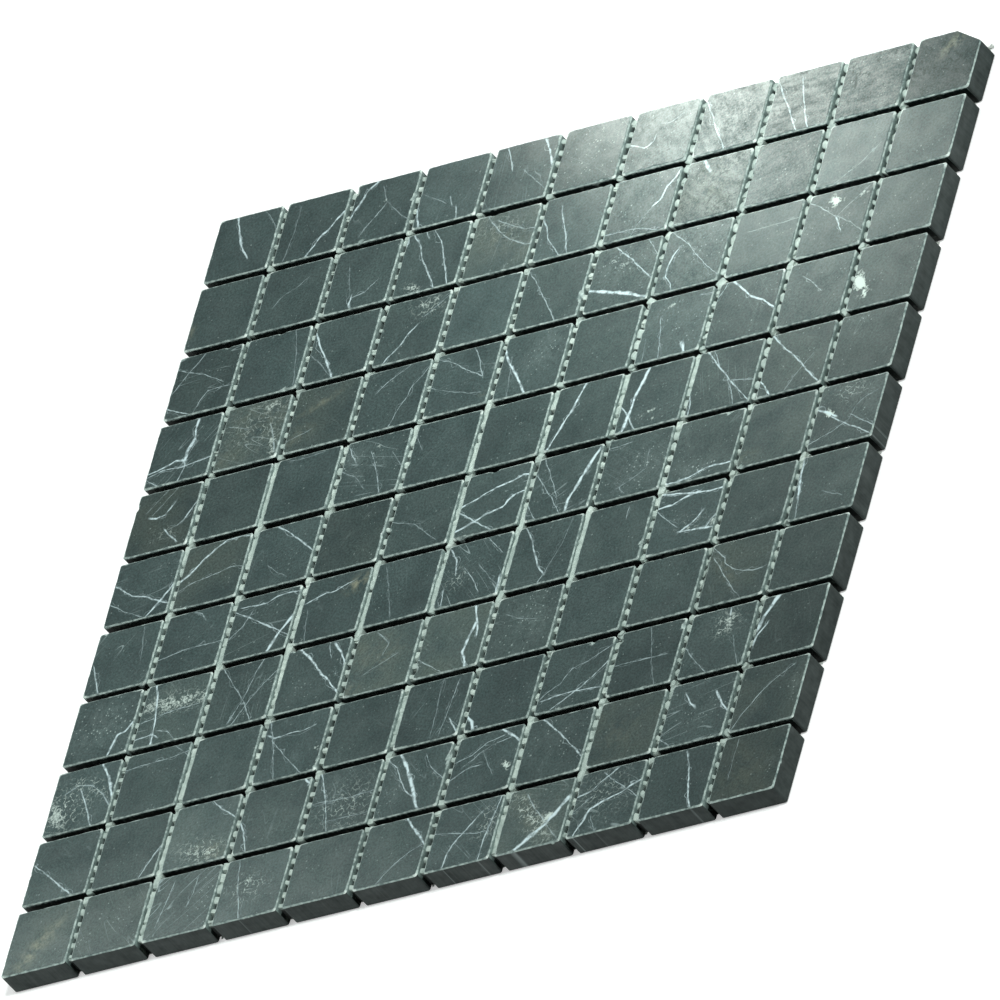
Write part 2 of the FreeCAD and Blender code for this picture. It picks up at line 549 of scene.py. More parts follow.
# %% Sketch of the smudges
SMUDGE_SKETCH = """
4 11 cream 12 58 24 11 52 1.0
4 11 cream 24 78 13 4 58 1.0
9 1 cream 14 70 34 13 62 0.68
9 1 cream 38 24 22 6 -20 0.5
9 1 cream 72 42 20 5 55 0.45
8 2 cream 50 37 95 14 2 0.62
9 10 cream 60 24 13 17 0 0.60
9 10 cream 50 38 4 8 25 0.6
10 7 cream 88 62 13 5 50 0.9
3 10 cream 43 18 12 9 35 1.0
3 10 cream 86 13 11 7 -30 0.55
11 4 cream 40 40 9 8 0 0.6
10 3 cream 33 62 6 8 0 0.6
7 2 cream 95 48 6 4 0 0.6
3 4 cream 58 14 10 7 20 0.6
3 4 cream 78 10 8 5 0 0.55
3 4 cream 62 34 4 5 0 0.6
11 8 cream 45 50 60 7 50 0.55
3 7 cream 40 30 30 6 30 0.45
9 7 dust 96 54 5 6 0 0.8
4 8 cream 38 15 7 3 -30 0.8
6 11 cream 22 47 12 6 35 1.0
6 11 crackle 50 18 28 20 0 0.5
2 4 cream 32 92 16 5 25 0.7
5 6 cream 60 40 3 3 0 0.4
7 9 cream 55 70 8 5 0 0.7
7 9 cream 96 68 5 8 0 0.7
4 2 beige 60 30 55 45 0 0.30
4 2 beige 20 85 30 15 0 0.35
4 3 beige 15 75 14 30 70 0.45
4 3 beige 40 30 6 32 65 0.7
2 5 beige 55 45 55 25 20 0.40
2 8 beige 50 50 40 30 0 0.3
7 4 beige 84 22 11 18 60 1.7
4 5 beige 91 83 5 4 0 1.0
8 5 beige 40 40 45 30 10 0.35
8 5 beige 10 92 15 10 0 0.8
11 1 beige 46 64 55 13 -52 1.4
11 8 beige 45 50 60 14 50 0.6
10 3 beige 75 85 30 14 20 0.8
6 10 beige 12 85 10 18 80 0.6
8 10 beige 30 45 40 10 55 0.4
1 11 beige 56 20 26 9 -50 1.3
2 1 beige 5 70 8 12 0 0.7
10 9 beige 40 55 35 30 0 0.25
11 2 dust 50 50 55 50 0 0.35
11 11 beige 40 60 40 40 0 0.2
10 5 dust 35 15 25 12 0 0.5
1 4 cream 90 38 5 8 0 0.65
1 3 cream 54 37 5 4 0 0.6
2 3 cream 38 33 9 4 40 0.6
4 2 cream 70 12 24 9 10 0.55
4 2 cream 88 75 7 27 -18 0.6
9 4 cream 93 63 8 4 0 0.75
11 8 cream 72 55 9 16 40 0.8
10 3 cream 55 85 40 10 15 0.45
8 2 crackle 50 36 65 16 2 1.0
9 1 crackle 25 60 35 42 60 0.9
9 1 crackle 60 35 42 14 30 0.7
9 10 crackle 58 26 20 18 0 1.0
10 3 crackle 62 80 45 20 15 0.8
10 3 cream 70 85 16 4 10 0.7
10 5 crackle 60 62 48 40 0 0.55
11 4 crackle 45 52 30 22 0 0.6
11 7 crackle 80 38 18 28 0 0.75
11 8 crackle 45 52 62 15 50 0.9
11 9 crackle 45 40 55 40 0 0.4
7 9 crackle 62 62 30 15 0 0.3
7 6 crackle 25 58 14 18 0 0.6
4 2 crackle 60 40 50 40 0 0.45
2 5 crackle 40 25 50 25 10 0.4
2 4 crackle 32 92 16 7 25 0.7
3 4 crackle 66 20 25 14 20 0.8
5 1 crackle 60 75 20 12 0 0.35
5 1 cream 60 72 4 3 0 0.6
5 4 cream 52 18 4 3 30 0.8
5 8 cream 50 74 9 2.5 -5 0.7
5 8 cream 36 82 6 4 0 0.5
5 8 cream 57 88 3 4 0 0.6
4 6 dust 70 35 35 40 0 0.8
5 8 dust 55 80 32 18 0 0.4
6 8 dust 65 60 50 45 0 0.7
6 9 dust 45 80 50 25 0 0.8
6 11 dust 75 25 40 30 0 0.4
8 1 dust 50 45 60 55 0 0.9
8 7 dust 60 50 50 50 0 0.8
3 7 dust 30 30 30 30 0 0.6
10 8 dust 50 40 50 50 0 0.4
11 3 dust 85 50 20 60 10 0.5
10 6 dust 25 65 12 15 0 0.6
4 8 dust 60 50 55 50 0 0.55
4 9 dust 69 50 60 3 90 0.7
4 9 dust 79 50 60 3 90 0.6
6 9 dust 15 40 60 14 80 0.6
6 11 dust 45 20 40 12 20 0.7
5 4 dust 60 40 40 12 50 0.5
5 4 dust 20 35 40 22 50 0.9
1 6 dust 50 50 60 60 0 0.5
2 7 dust 50 40 60 50 0 0.4
3 8 dust 50 40 50 50 0 0.4
3 11 dust 50 50 50 30 0 0.3
8 4 dust 50 70 40 20 10 0.4
10 10 dust 50 50 50 30 10 0.5
10 11 dust 90 40 10 30 0 0.6
7 10 dust 60 85 40 12 -20 0.5
5 11 dust 30 10 30 8 0 0.5
"""
SMUDGE_KINDS = ("cream", "beige", "dust", "crackle")


def read_smudges(sketch):
    """The sketch as a dictionary: the smudges of each (row, column)."""
    smudges = {}
    for line in sketch.strip().splitlines():
        row, column, kind, *numbers = line.split()
        smudges.setdefault((int(row), int(column)), []).append((kind, [float(n) for n in numbers]))
    return smudges


def smudge_fields(places, chip_smudges):
    """How strongly each kind of smudge covers each place, falling softly towards its edge."""
    fields = np.zeros((len(places), len(SMUDGE_KINDS)))
    for kind, (u, v, long, short, turn, strength) in chip_smudges:
        scale = CHIP / MM / 100
        offset = places - np.array((u, v)) * scale
        c, s = math.cos(math.radians(turn)), math.sin(math.radians(turn))
        across = (offset @ np.array((c, s))) / (long * scale)
        down = (offset @ np.array((-s, c))) / (short * scale)
        cover = strength * np.exp(-1.2 * (across ** 2 + down ** 2))
        layer = SMUDGE_KINDS.index(kind)
        fields[:, layer] = np.maximum(fields[:, layer], cover)
    return fields


smudges = read_smudges(SMUDGE_SKETCH)
print(sum(map(len, smudges.values())), "smudges on", len(smudges), "chips")

# %% [markdown]
# ## One chip
#
# A chip is a sawn square block with blunt corners. Its face needs a fine, even grid for the
# veins and closer lines near the edge for the worn arris. Such a mesh is easiest to build
# from one list of line positions. Each point also keeps its distance from the outline, its
# depth below the face, and its place on the chip, so that the wear and the veins can be
# worked out after the chips are laid.

# %% Build one chip
# All in millimetres: the room left round a chip, the radius of its corners, and how far its
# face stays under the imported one.
CLEARANCE = 0.02
CORNER_ROUND = 0.75
FACE_DROP = 0.05

# Where lines run near the edge of the face, and at which depths on the walls.
NEAR_EDGE = (0.0, 0.18, 0.45, 0.9, 1.6, 2.5)
WALL_DEPTHS = (0.5, 1.2, 3.0, 5.5)

# How much more the front and right edges are worn, and the back and left ones less.
BLUNTER = 0.11
chip_half = CHIP / MM / 2 - CLEARANCE
chip_height = (CHIP_TOP - CHIP_BOTTOM) / MM - FACE_DROP


def face_lines():
    """Where the grid lines of the face run, from one edge to the other."""
    edge = [-chip_half + gap for gap in NEAR_EDGE]
    middle = np.linspace(edge[-1], -edge[-1], 21)[1:-1]
    return edge + list(middle) + [-x for x in reversed(edge)]


def round_corner(x, y):
    """Moves a grid point near a corner, so that the outline is rounded there."""
    inner = chip_half - CORNER_ROUND
    over = Vector((max(abs(x) - inner, 0), max(abs(y) - inner, 0)))
    if min(over) <= 0:
        return x, y
    over = over.normalized() * max(over)
    return math.copysign(inner + over.x, x), math.copysign(inner + over.y, y)


def store(mesh, name, kind, values):
    """Writes one value per point of a mesh as a named attribute."""
    attribute = mesh.attributes.get(name) or mesh.attributes.new(name, kind, "POINT")
    field = "value" if kind == "FLOAT" else "vector"
    attribute.data.foreach_set(field, np.ravel(values).astype(np.float32))


def build_chip():
    """The mesh of one chip, in metres, standing on the plane z = 0."""
    lines = face_lines()
    count = len(lines)
    points, rims, edges, depths = [], [], [], []

    def point(x, y, depth):
        edges.append(max(chip_half - max(abs(x), abs(y)), 0))
        rims.append(edges[-1] - (BLUNTER if x - y > 0 else -BLUNTER))
        depths.append(depth)
        points.append((*round_corner(x, y), chip_height - depth))
        return len(points) - 1

    grid = [[point(x, y, 0) for x in lines] for y in lines]
    faces = [
        (grid[j][i], grid[j][i + 1], grid[j + 1][i + 1], grid[j + 1][i])
        for j in range(count - 1)
        for i in range(count - 1)
    ]
    around = (
        [(i, 0) for i in range(count - 1)]
        + [(count - 1, j) for j in range(count - 1)]
        + [(i, count - 1) for i in range(count - 1, 0, -1)]
        + [(0, j) for j in range(count - 1, 0, -1)]
    )
    ring = [grid[j][i] for i, j in around]
    for depth in (*WALL_DEPTHS, chip_height):
        lower = [point(lines[i], lines[j], depth) for i, j in around]
        for k in range(len(ring)):
            n = (k + 1) % len(ring)
            faces.append((ring[n], ring[k], lower[k], lower[n]))
        ring = lower
    centre = point(0, 0, chip_height)
    faces += [(ring[(k + 1) % len(ring)], ring[k], centre) for k in range(len(ring))]

    mesh = bpy.data.meshes.new("chip")
    mesh.from_pydata([Vector(p) * MM for p in points], [], faces)
    places = np.array([(x + chip_half, chip_half - y, 0) for x, y, _ in points])
    store(mesh, "rim", "FLOAT", rims)
    store(mesh, "edge", "FLOAT", edges)
    store(mesh, "depth", "FLOAT", depths)
    store(mesh, "place", "FLOAT_VECTOR", places)
    return mesh


chip = bpy.data.objects.new("one_chip", build_chip())
print("one chip:", len(chip.data.vertices), "points,", len(chip.data.polygons), "faces")

# %% [markdown]
# ## Steps that the Geometry Nodes trees share
#
# The rows of chips, the net and the dabs of adhesive are all one shape set on many points.
# So their trees share a few steps: places spaced evenly about a middle, a real copy of the
# shape on each point, and the material at the end. When a tree has run, its result is kept
# as a plain mesh, because the other tools read meshes and not trees.

# %% Helpers for Geometry Nodes
def named(tree, name):
    """A named attribute as an output socket."""
    sockets = {"Name": name}
    return add(tree, "GeometryNodeInputNamedAttribute", sockets, data_type="FLOAT").outputs[0]


def store_on(tree, geometry, name, value):
    """Geometry with one more number stored on each of its points."""
    return add(tree, "GeometryNodeStoreNamedAttribute", {
        "Geometry": geometry, "Name": name, "Value": value,
    }, data_type="FLOAT", domain="POINT").outputs[0]


def vector_of(tree, x=0.0, y=0.0, z=0.0):
    """A vector from three numbers or sockets."""
    return add(tree, "ShaderNodeCombineXYZ", {0: x, 1: y, 2: z}).outputs[0]


def from_middle(tree, index, count, pitch):
    """How far from the middle of a row of evenly spaced places the place with an index is."""
    middle = calc(tree, "MULTIPLY", calc(tree, "SUBTRACT", count, 1), 0.5)
    return calc(tree, "MULTIPLY", calc(tree, "SUBTRACT", index, middle), pitch)


def lay_on_points(tree, points, shape, **more):
    """A real copy of a shape on each point."""
    sockets = {"Points": points, "Instance": shape, **more}
    laid = add(tree, "GeometryNodeInstanceOnPoints", sockets).outputs[0]
    return add(tree, "GeometryNodeRealizeInstances", {"Geometry": laid}).outputs[0]


def coat(tree, geometry, material, made):
    """Gives the geometry its material and passes it to the output of the tree."""
    sockets = {"Geometry": geometry, "Material": material}
    coated = add(tree, "GeometryNodeSetMaterial", sockets)
    tree.links.new(coated.outputs[0], made["Geometry"])


def random_vector(tree, low, high, seed, salt):
    """A random vector for each point, with its own salt so that no two are alike."""
    shifted = calc(tree, "ADD", seed, salt)
    sockets = {"Min": low, "Max": high, "Seed": shifted}
    return add(tree, "FunctionNodeRandomValue", sockets, data_type="FLOAT_VECTOR").outputs[0]


def run_nodes(name, tree, values, mesh=None):
    """Runs a tree with the given inputs, and keeps the result as a plain mesh object."""
    base = bpy.data.objects.new(name, mesh or bpy.data.meshes.new(name))
    bpy.context.collection.objects.link(base)
    modifier = base.modifiers.new("nodes", "NODES")
    modifier.node_group = tree
    sockets = {s.name: s for s in tree.interface.items_tree if s.in_out == "INPUT"}
    for label, value in values.items():
        modifier[sockets[label].identifier] = value
    graph = bpy.context.evaluated_depsgraph_get()
    mesh = bpy.data.meshes.new_from_object(base.evaluated_get(graph), depsgraph=graph)
    base.modifiers.remove(modifier)
    base.data = mesh
    mesh.name = name
    return base


print("Geometry Nodes helpers ready")

# %% [markdown]
# ## Rows of chips
#
# Eleven chips in a row are one shape repeated, which is what Geometry Nodes are for. The
# chips sit on the points of a line. Each is shifted and turned a little, as hand-laid chips
# are. Then the arris is worn: every point near an edge goes down to a rough chamfer, whose
# width wanders, and here and there a larger flake is gone.

# %% Geometry nodes for a row
ROW_INPUTS = [
    ("Chip", "Object"),
    ("Chips", "Int", 11),
    ("Pitch", "Float", 0.028),
    ("Row Y", "Float", 0.0),
    ("Bottom", "Float", 0.0),
    ("Shift", "Float", 0.00016),
    ("Turn", "Float", 0.005),
    ("Arris", "Float", 0.31),
    ("Flake", "Float", 0.9),
    ("Seed", "Int", 1),
    ("Material", "Material"),
]


def build_row_tree():
    """The node tree that lays a row of chips and wears their edges."""
    tree, given, made = new_group(
        "row of chips", "GeometryNodeTree", ROW_INPUTS, [("Geometry", "Geometry")]
    )
    start = from_middle(tree, 0.0, given["Chips"], given["Pitch"])
    line = add(tree, "GeometryNodeMeshLine", {
        "Count": given["Chips"],
        "Start Location": vector_of(tree, start, given["Row Y"], given["Bottom"]),
        "Offset": vector_of(tree, given["Pitch"]),
    }, mode="OFFSET").outputs[0]
    line = store_on(tree, line, "column", add(tree, "GeometryNodeInputIndex").outputs[0])

    shift = random_vector(tree, (-1, -1, 0), (1, 1, 0), given["Seed"], 0)
    line = add(tree, "GeometryNodeSetPosition", {
        "Geometry": line, "Offset": scaled(tree, shift, given["Shift"]),
    }).outputs[0]
    turn = random_vector(tree, (-0.35, -0.35, -1), (0.35, 0.35, 1), given["Seed"], 50)
    shape = add(tree, "GeometryNodeObjectInfo", {"Object": given["Chip"]}).outputs["Geometry"]
    solid = lay_on_points(tree, line, shape, Rotation=scaled(tree, turn, given["Turn"]))

    where = add(tree, "GeometryNodeInputPosition").outputs[0]
    wander = noise(tree, where, 300.0, detail=4.0, roughness=0.65)[0]
    flake = remap(tree, noise(tree, where, 130.0, detail=3.0)[0], 0.66, 0.74)
    width = calc(tree, "MULTIPLY", given["Arris"], calc(tree, "MULTIPLY_ADD", wander, 2.2, -0.1))
    width = calc(tree, "MULTIPLY_ADD", flake, given["Flake"], width)
    depth = named(tree, "depth")
    ground = calc(tree, "SUBTRACT", width, named(tree, "rim"))
    ground = calc(tree, "MULTIPLY_ADD", depth, 0.1, ground)
    loss = calc(tree, "MAXIMUM", calc(tree, "SUBTRACT", ground, depth), 0.0)
    solid = store_on(tree, solid, "worn", loss)
    drop = vector_of(tree, z=calc(tree, "MULTIPLY", named(tree, "worn"), -MM))
    cut = add(tree, "GeometryNodeSetPosition", {"Geometry": solid, "Offset": drop}).outputs[0]
    coat(tree, cut, given["Material"], made)
    return tree


row_tree = build_row_tree()
print("row tree:", len(row_tree.nodes), "nodes")

# %% [markdown]
# ## Shader groups that the materials share
#
# Stone, adhesive and glass fibre all have cloudy changes of tone and small specks. Each
# effect is a node group with named inputs, built once, and every material sets its own
# values. A third group turns the three numbers stored for a vein into a soft-edged line,
# and is placed once for each layer of veins.

# %% Groups for clouds, specks and veins
def use(tree, group, sockets):
    """Places a node group in a tree, fills in its sockets and returns its one output."""
    return add(tree, "ShaderNodeGroup", sockets, node_tree=group).outputs[0]


def build_clouds(name, flat):
    """Broad clouds with finer ones in them, from 0 to 1."""
    tree, given, made = new_group(
        name, "ShaderNodeTree",
        [("Vector", "Vector"), ("Scale", "Float", 100.0), ("Contrast", "Float", 1.0),
         ("Detail", "Float", 2.0)],
        [("Clouds", "Float")],
    )
    cloudy = noise(tree, given["Vector"], given["Scale"], given["Detail"], 0.62, flat)[0]
    centred = calc(tree, "SUBTRACT", cloudy, 0.5)
    tree.links.new(
        calc(tree, "MULTIPLY_ADD", centred, given["Contrast"], 0.5, clamp=True), made["Clouds"]
    )
    return tree


def build_specks(name, flat):
    """Small round specks, one to a cell, of which only some are there."""
    tree, given, made = new_group(
        name, "ShaderNodeTree",
        [("Vector", "Vector"), ("Scale", "Float", 400.0), ("Size", "Float", 0.2),
         ("Share", "Float", 0.2)],
        [("Specks", "Float")],
    )
    cells = add(tree, "ShaderNodeTexVoronoi", {"Vector": given["Vector"], "Scale": given["Scale"]},
                voronoi_dimensions="2D" if flat else "3D")
    chance = add(tree, "ShaderNodeSeparateColor", {0: cells.outputs["Color"]}).outputs
    size = calc(tree, "MULTIPLY", chance[1], chance[1])
    size = calc(tree, "MULTIPLY", given["Size"], calc(tree, "ADD", size, 0.35))
    dot = calc(tree, "SUBTRACT", 1.0, calc(tree, "DIVIDE", cells.outputs["Distance"], size))
    there = calc(tree, "LESS_THAN", chance[0], given["Share"])
    dot = calc(tree, "MULTIPLY", calc(tree, "MULTIPLY", dot, 2.0, clamp=True), there)
    tree.links.new(dot, made["Specks"])
    return tree


def build_vein():
    """A line where the stored distance is nearly nothing, with a soft and wavering edge."""
    tree, given, made = new_group(
        "vein", "ShaderNodeTree",
        [("Layer", "Vector"), ("Waver", "Float", 0.0), ("Strand", "Float", 0.0),
         ("Swell", "Float", 1.0), ("Breaks", "Float", 1.0)],
        [("Line", "Float")],
    )
    parts = add(tree, "ShaderNodeSeparateXYZ", {0: given["Layer"]}).outputs
    away = calc(tree, "ABSOLUTE", calc(tree, "ADD", parts[0], given["Waver"]))
    half = calc(tree, "MULTIPLY", parts[1], given["Swell"])
    inner = calc(tree, "MULTIPLY", half, 0.30)
    outer = calc(tree, "MULTIPLY_ADD", half, 1.35, 0.08)
    line = remap(tree, away, outer, inner)
    aside = calc(tree, "ABSOLUTE", calc(tree, "ADD", parts[0], given["Strand"]))
    thin = calc(tree, "MULTIPLY", remap(tree, aside, 0.18, 0.04), 0.40)
    line = calc(tree, "MULTIPLY", calc(tree, "MAXIMUM", line, thin), parts[2])
    tree.links.new(calc(tree, "MULTIPLY", line, given["Breaks"], clamp=True), made["Line"])
    return tree


clouds, flat_clouds = build_clouds("clouds", False), build_clouds("flat clouds", True)
specks, flat_specks = build_specks("specks", False), build_specks("flat specks", True)
vein_group = build_vein()


def cloudy(tree, group, where, scale, contrast, detail=2.0):
    """Places a group of clouds in a tree."""
    sockets = {"Vector": where, "Scale": scale, "Contrast": contrast, "Detail": detail}
    return use(tree, group, sockets)


print("groups:", [group.name for group in (clouds, flat_clouds, specks, flat_specks, vein_group)])

# %% [markdown]
# ## The marble
#
# Honed black marble is not one black. Its ground drifts from blue-grey to green-grey and
# brown, it holds light specks and dashes of calcite, and fine hair veins cross it. The
# honed face is half matt, while the sawn walls and the worn arris are dull. The arris is
# paler, and in the joints the walls carry a painted pale band near the face, as if lit, with
# painted shade below it.
# The material follows the stored place on each chip, so no pattern runs on from one chip
# to the next. Only the hone marks run across the whole sheet, because it was honed whole.
# The colour is built up like paint: each function below takes the colour so far and lays
# one thing over it.

# %% Ground and flecks
def new_material(name):
    """An empty material with a Principled shader. Returns it, its tree and the shader."""
    material = bpy.data.materials.new(name)
    material.use_nodes = True
    tree = material.node_tree
    return material, tree, tree.nodes["Principled BSDF"]


def dress(tree, shader, colour, rough, height, strength, distance):
    """Gives a shader its colour and roughness, and a fine relief from a height."""
    bump = {"Strength": strength, "Distance": distance, "Height": height}
    tree.links.new(colour, shader.inputs["Base Color"])
    tree.links.new(rough, shader.inputs["Roughness"])
    tree.links.new(add(tree, "ShaderNodeBump", bump).outputs[0], shader.inputs["Normal"])


def attribute(tree, name, output="Vector"):
    """A stored attribute as an output socket."""
    return add(tree, "ShaderNodeAttribute", attribute_name=name).outputs[output]


def lay_ground(tree, slab, lightness, warmth):
    """The dark ground, which drifts in tone. Returns its colour and its fine grain."""
    drift = cloudy(tree, flat_clouds, slab, 55.0, 2.2, 3.0)
    grain = cloudy(tree, flat_clouds, slab, 1300.0, 3.0)
    colour = blend(tree, drift, (0.026, 0.047, 0.047), (0.046, 0.076, 0.075))
    colour = blend(tree, calc(tree, "MULTIPLY", warmth, drift), colour, (0.052, 0.072, 0.061))
    light = calc(tree, "MULTIPLY", calc(tree, "MULTIPLY_ADD", grain, 0.60, 0.66), lightness)
    return blend(tree, 1.0, colour, light, "MULTIPLY"), grain


def lay_flecks(tree, colour, slab, dust):
    """Light flecks in two sizes, which crowd together here and there, and in dust."""
    crowd = remap(tree, noise(tree, slab, 70.0, flat=True)[0], 0.42, 0.66, 0.03, 0.30)
    crowd = calc(tree, "MULTIPLY_ADD", dust, 1.10, crowd)
    bright = calc(tree, "MULTIPLY_ADD", dust, 0.40, 0.26)
    for scale, size, share in ((340.0, 0.12, 0.40), (850.0, 0.24, 0.35)):
        dots = use(tree, flat_specks, {
            "Vector": slab, "Scale": scale, "Size": size,
            "Share": calc(tree, "MULTIPLY", crowd, share),
        })
        colour = blend(tree, calc(tree, "MULTIPLY", dots, bright), colour, (0.46, 0.55, 0.53))
    return colour


print("ground and flecks ready")

# %% [markdown]
# ## Fine marks of the honed face
#
# Honing leaves short dashes that all run one way. Hair veins are longer and cross each
# other: each set is the level lines of a noise that is stretched ten times. Where the face
# was honed unevenly, at the back right, it keeps small dark pits.

# %% Hone marks, hair veins and pits
def streaks(tree, where, angle, scale, share):
    """Short fine dashes that all run one way."""
    turned = add(tree, "ShaderNodeMapping", {
        "Vector": where, "Rotation": (0, 0, angle), "Scale": (0.35, 1.0, 0.5),
    }).outputs[0]
    level = noise(tree, turned, scale, detail=2.0, roughness=0.6)[0]
    return remap(tree, level, share, share + 0.09)


def long_lines(tree, where, angle, scale, width):
    """Long thin lines that run more or less one way: the level lines of a stretched noise."""
    turned = add(tree, "ShaderNodeMapping", {
        "Vector": where, "Rotation": (0, 0, angle), "Scale": (0.10, 1.0, 0.3),
    }).outputs[0]
    level = noise(tree, turned, scale, 1.0, 0.4, flat=True)[0]
    away = calc(tree, "ABSOLUTE", calc(tree, "SUBTRACT", level, 0.57))
    return remap(tree, away, width, width * 0.3)


def lay_hone_marks(tree, colour, whole, scratched):
    """The dashes of the hone. Returns the colour and the dashes."""
    marks = streaks(tree, whole, 1.0, 1100.0, 0.62)
    marks = calc(tree, "MULTIPLY", marks, calc(tree, "MULTIPLY", scratched, 0.05))
    return blend(tree, marks, colour, (0.42, 0.50, 0.49)), marks


def lay_hairs(tree, colour, slab, scratched, patchy):
    """Three sets of hair veins, in patches, and strong only on the scratched chips."""
    hair = strongest(tree, [
        long_lines(tree, slab, angle, scale, width)
        for angle, scale, width in ((0.4, 95.0, 0.0042), (1.9, 80.0, 0.0036), (2.7, 120.0, 0.0050))
    ])
    some = calc(tree, "MULTIPLY", remap(tree, patchy, 0.40, 0.60), 0.24)
    hair = calc(tree, "MULTIPLY", hair, some)
    hair = calc(tree, "MULTIPLY", hair, calc(tree, "MULTIPLY", scratched, scratched))
    return blend(tree, hair, colour, (0.45, 0.55, 0.56))


def lay_pits(tree, colour, slab, uneven, patchy):
    """Small dark pits, in patches, on the unevenly honed chips. Returns the colour and pits."""
    pits = noise(tree, slab, 620.0, detail=3.0, roughness=0.7, flat=True)[0]
    pits = calc(tree, "MULTIPLY", remap(tree, pits, 0.50, 0.58), remap(tree, patchy, 0.50, 0.62))
    pits = calc(tree, "MULTIPLY", pits, uneven)
    return blend(tree, calc(tree, "MULTIPLY", pits, 0.45), colour, (0.012, 0.020, 0.019)), pits


print("fine marks ready")

# %% [markdown]
# ## Smudges and veins on the stone
#
# The stored smudges are soft ovals, so a ragged noise breaks up their edges. Cream covers
# the stone in crumbs, and solidly only where a smudge is strongest. The veins come last,
# because calcite fills cracks that cut through all the rest.

# %% Lay the smudges and the veins
def cracks(tree, where):
    """A net of thin healed cracks: the borders between cells, bent and broken by noise."""
    bent = scaled(tree, noise(tree, where, 420.0, flat=True)[1], 0.0022)
    cells = add(tree, "ShaderNodeTexVoronoi", {
        "Vector": vector_calc(tree, "ADD", where, bent), "Scale": 500.0,
    }, feature="DISTANCE_TO_EDGE", voronoi_dimensions="2D")
    line = remap(tree, cells.outputs["Distance"], 0.10, 0.02)
    parts = remap(tree, noise(tree, where, 500.0, flat=True)[0], 0.42, 0.60)
    return calc(tree, "MULTIPLY", line, parts)


def lay_smudges(tree, colour, slab, smudge, mottle):
    """Dust, then beige haze, then cream and the healed cracks."""
    ragged = calc(tree, "SUBTRACT", cloudy(tree, flat_clouds, slab, 300.0, 2.6, 3.0), 0.5)
    for kind, swing, middle, strength, paint in (
        ("dust", 0.8, 0.5, 0.15, (0.40, 0.50, 0.48)),
        ("beige", 1.1, 0.45, 0.36, (0.33, 0.33, 0.23)),
    ):
        broken = calc(tree, "MULTIPLY_ADD", ragged, swing, middle)
        haze = calc(tree, "MULTIPLY", smudge[SMUDGE_KINDS.index(kind)], broken)
        colour = blend(tree, calc(tree, "MULTIPLY", haze, strength, clamp=True), colour, paint)
    cream = smudge[SMUDGE_KINDS.index("cream")]
    crumbs = calc(tree, "ADD", cream, calc(tree, "MULTIPLY", ragged, 0.9))
    cover = calc(tree, "MULTIPLY", cream, 1.4, clamp=True)
    crumbs = calc(tree, "MULTIPLY", remap(tree, crumbs, 0.36, 0.56), cover)
    solid = calc(tree, "MAXIMUM", mottle, remap(tree, cream, 0.50, 0.75))
    crumbs = calc(tree, "MULTIPLY", crumbs, solid, clamp=True)
    crackle = calc(tree, "MULTIPLY", cracks(tree, slab), attribute(tree, "crackle", "Fac"))
    return blend(tree, calc(tree, "MAXIMUM", crumbs, crackle), colour, (0.54, 0.63, 0.585))


def lay_veins(tree, colour, slab):
    """All layers of veins. Returns the colour and the veins."""
    waver = noise(tree, slab, 260.0, flat=True)[0]
    waver = calc(tree, "MULTIPLY", calc(tree, "SUBTRACT", waver, 0.5), 0.75)
    swell = noise(tree, slab, 160.0, flat=True)[0]
    breaks = noise(tree, slab, 420.0, roughness=0.6, flat=True)[0]
    along = {
        "Waver": waver,
        "Strand": calc(tree, "MULTIPLY", calc(tree, "SUBTRACT", swell, 0.5), 6.0),
        "Swell": remap(tree, swell, 0.30, 0.70, 0.62, 1.38),
        "Breaks": remap(tree, breaks, 0.32, 0.60, 0.40, 1.15),
    }
    veined = strongest(tree, [
        use(tree, vein_group, {"Layer": attribute(tree, "vein_%d" % layer), **along})
        for layer in range(VEIN_LAYERS)
    ])
    return blend(tree, veined, colour, (0.58, 0.71, 0.74)), veined


print("smudges and veins ready")

# %% [markdown]
# ## Sawn walls and worn edges
#
# A wall on the outside of the sheet shows plain sawn stone. In a joint its upper part is
# painted pale, as if lit, and darkens downwards into painted shade, which covers the rest:
# how far down the pale band goes is stored on each wall. The arris is bruised pale where it
# is worn, and almost white at the corners.

# %% Colour the walls and the edges
def wall_colour(tree, whole, depth, veined, bruise):
    """The colour of the sawn walls, with painted light and painted shade on those in the joints."""
    outside = blend(
        tree, cloudy(tree, clouds, whole, 260.0, 2.0), (0.020, 0.027, 0.026), (0.050, 0.062, 0.060)
    )
    outside = blend(tree, calc(tree, "MULTIPLY", veined, 0.4), outside, (0.4, 0.46, 0.46))
    # Painted light: in a joint the top of a wall is painted pale, as if lit, and darker with depth
    # as painted shade.
    band_cloud = cloudy(tree, clouds, whole, 700.0, 2.6)
    painted_lit_band = blend(tree, band_cloud, (0.12, 0.165, 0.158), (0.28, 0.355, 0.335))
    painted_lit_band = blend(tree, 1.0, painted_lit_band, remap(tree, depth, 0.8, 2.6, 1.0, 0.40), "MULTIPLY")
    clean_unshaded = attribute(tree, "clean_unshaded", "Fac")
    below = calc(tree, "SUBTRACT", depth, calc(tree, "MULTIPLY_ADD", band_cloud, 0.6, clean_unshaded))
    # Painted shade: further down, a wall in a joint is painted nearly black.
    painted_deep_shade = remap(tree, depth, 0.5, 2.2)
    painted_deep_shade = blend(tree, painted_deep_shade, (0.004, 0.013, 0.012), (0.0006, 0.0025, 0.002))
    painted_deep_shade = blend(tree, remap(tree, bruise, 0.55, 0.68), painted_deep_shade, (0.030, 0.040, 0.034))
    inside = blend(tree, remap(tree, below, -0.5, 0.0), painted_lit_band, painted_deep_shade)
    return blend(tree, remap(tree, clean_unshaded, 6.0, 12.0), inside, outside)


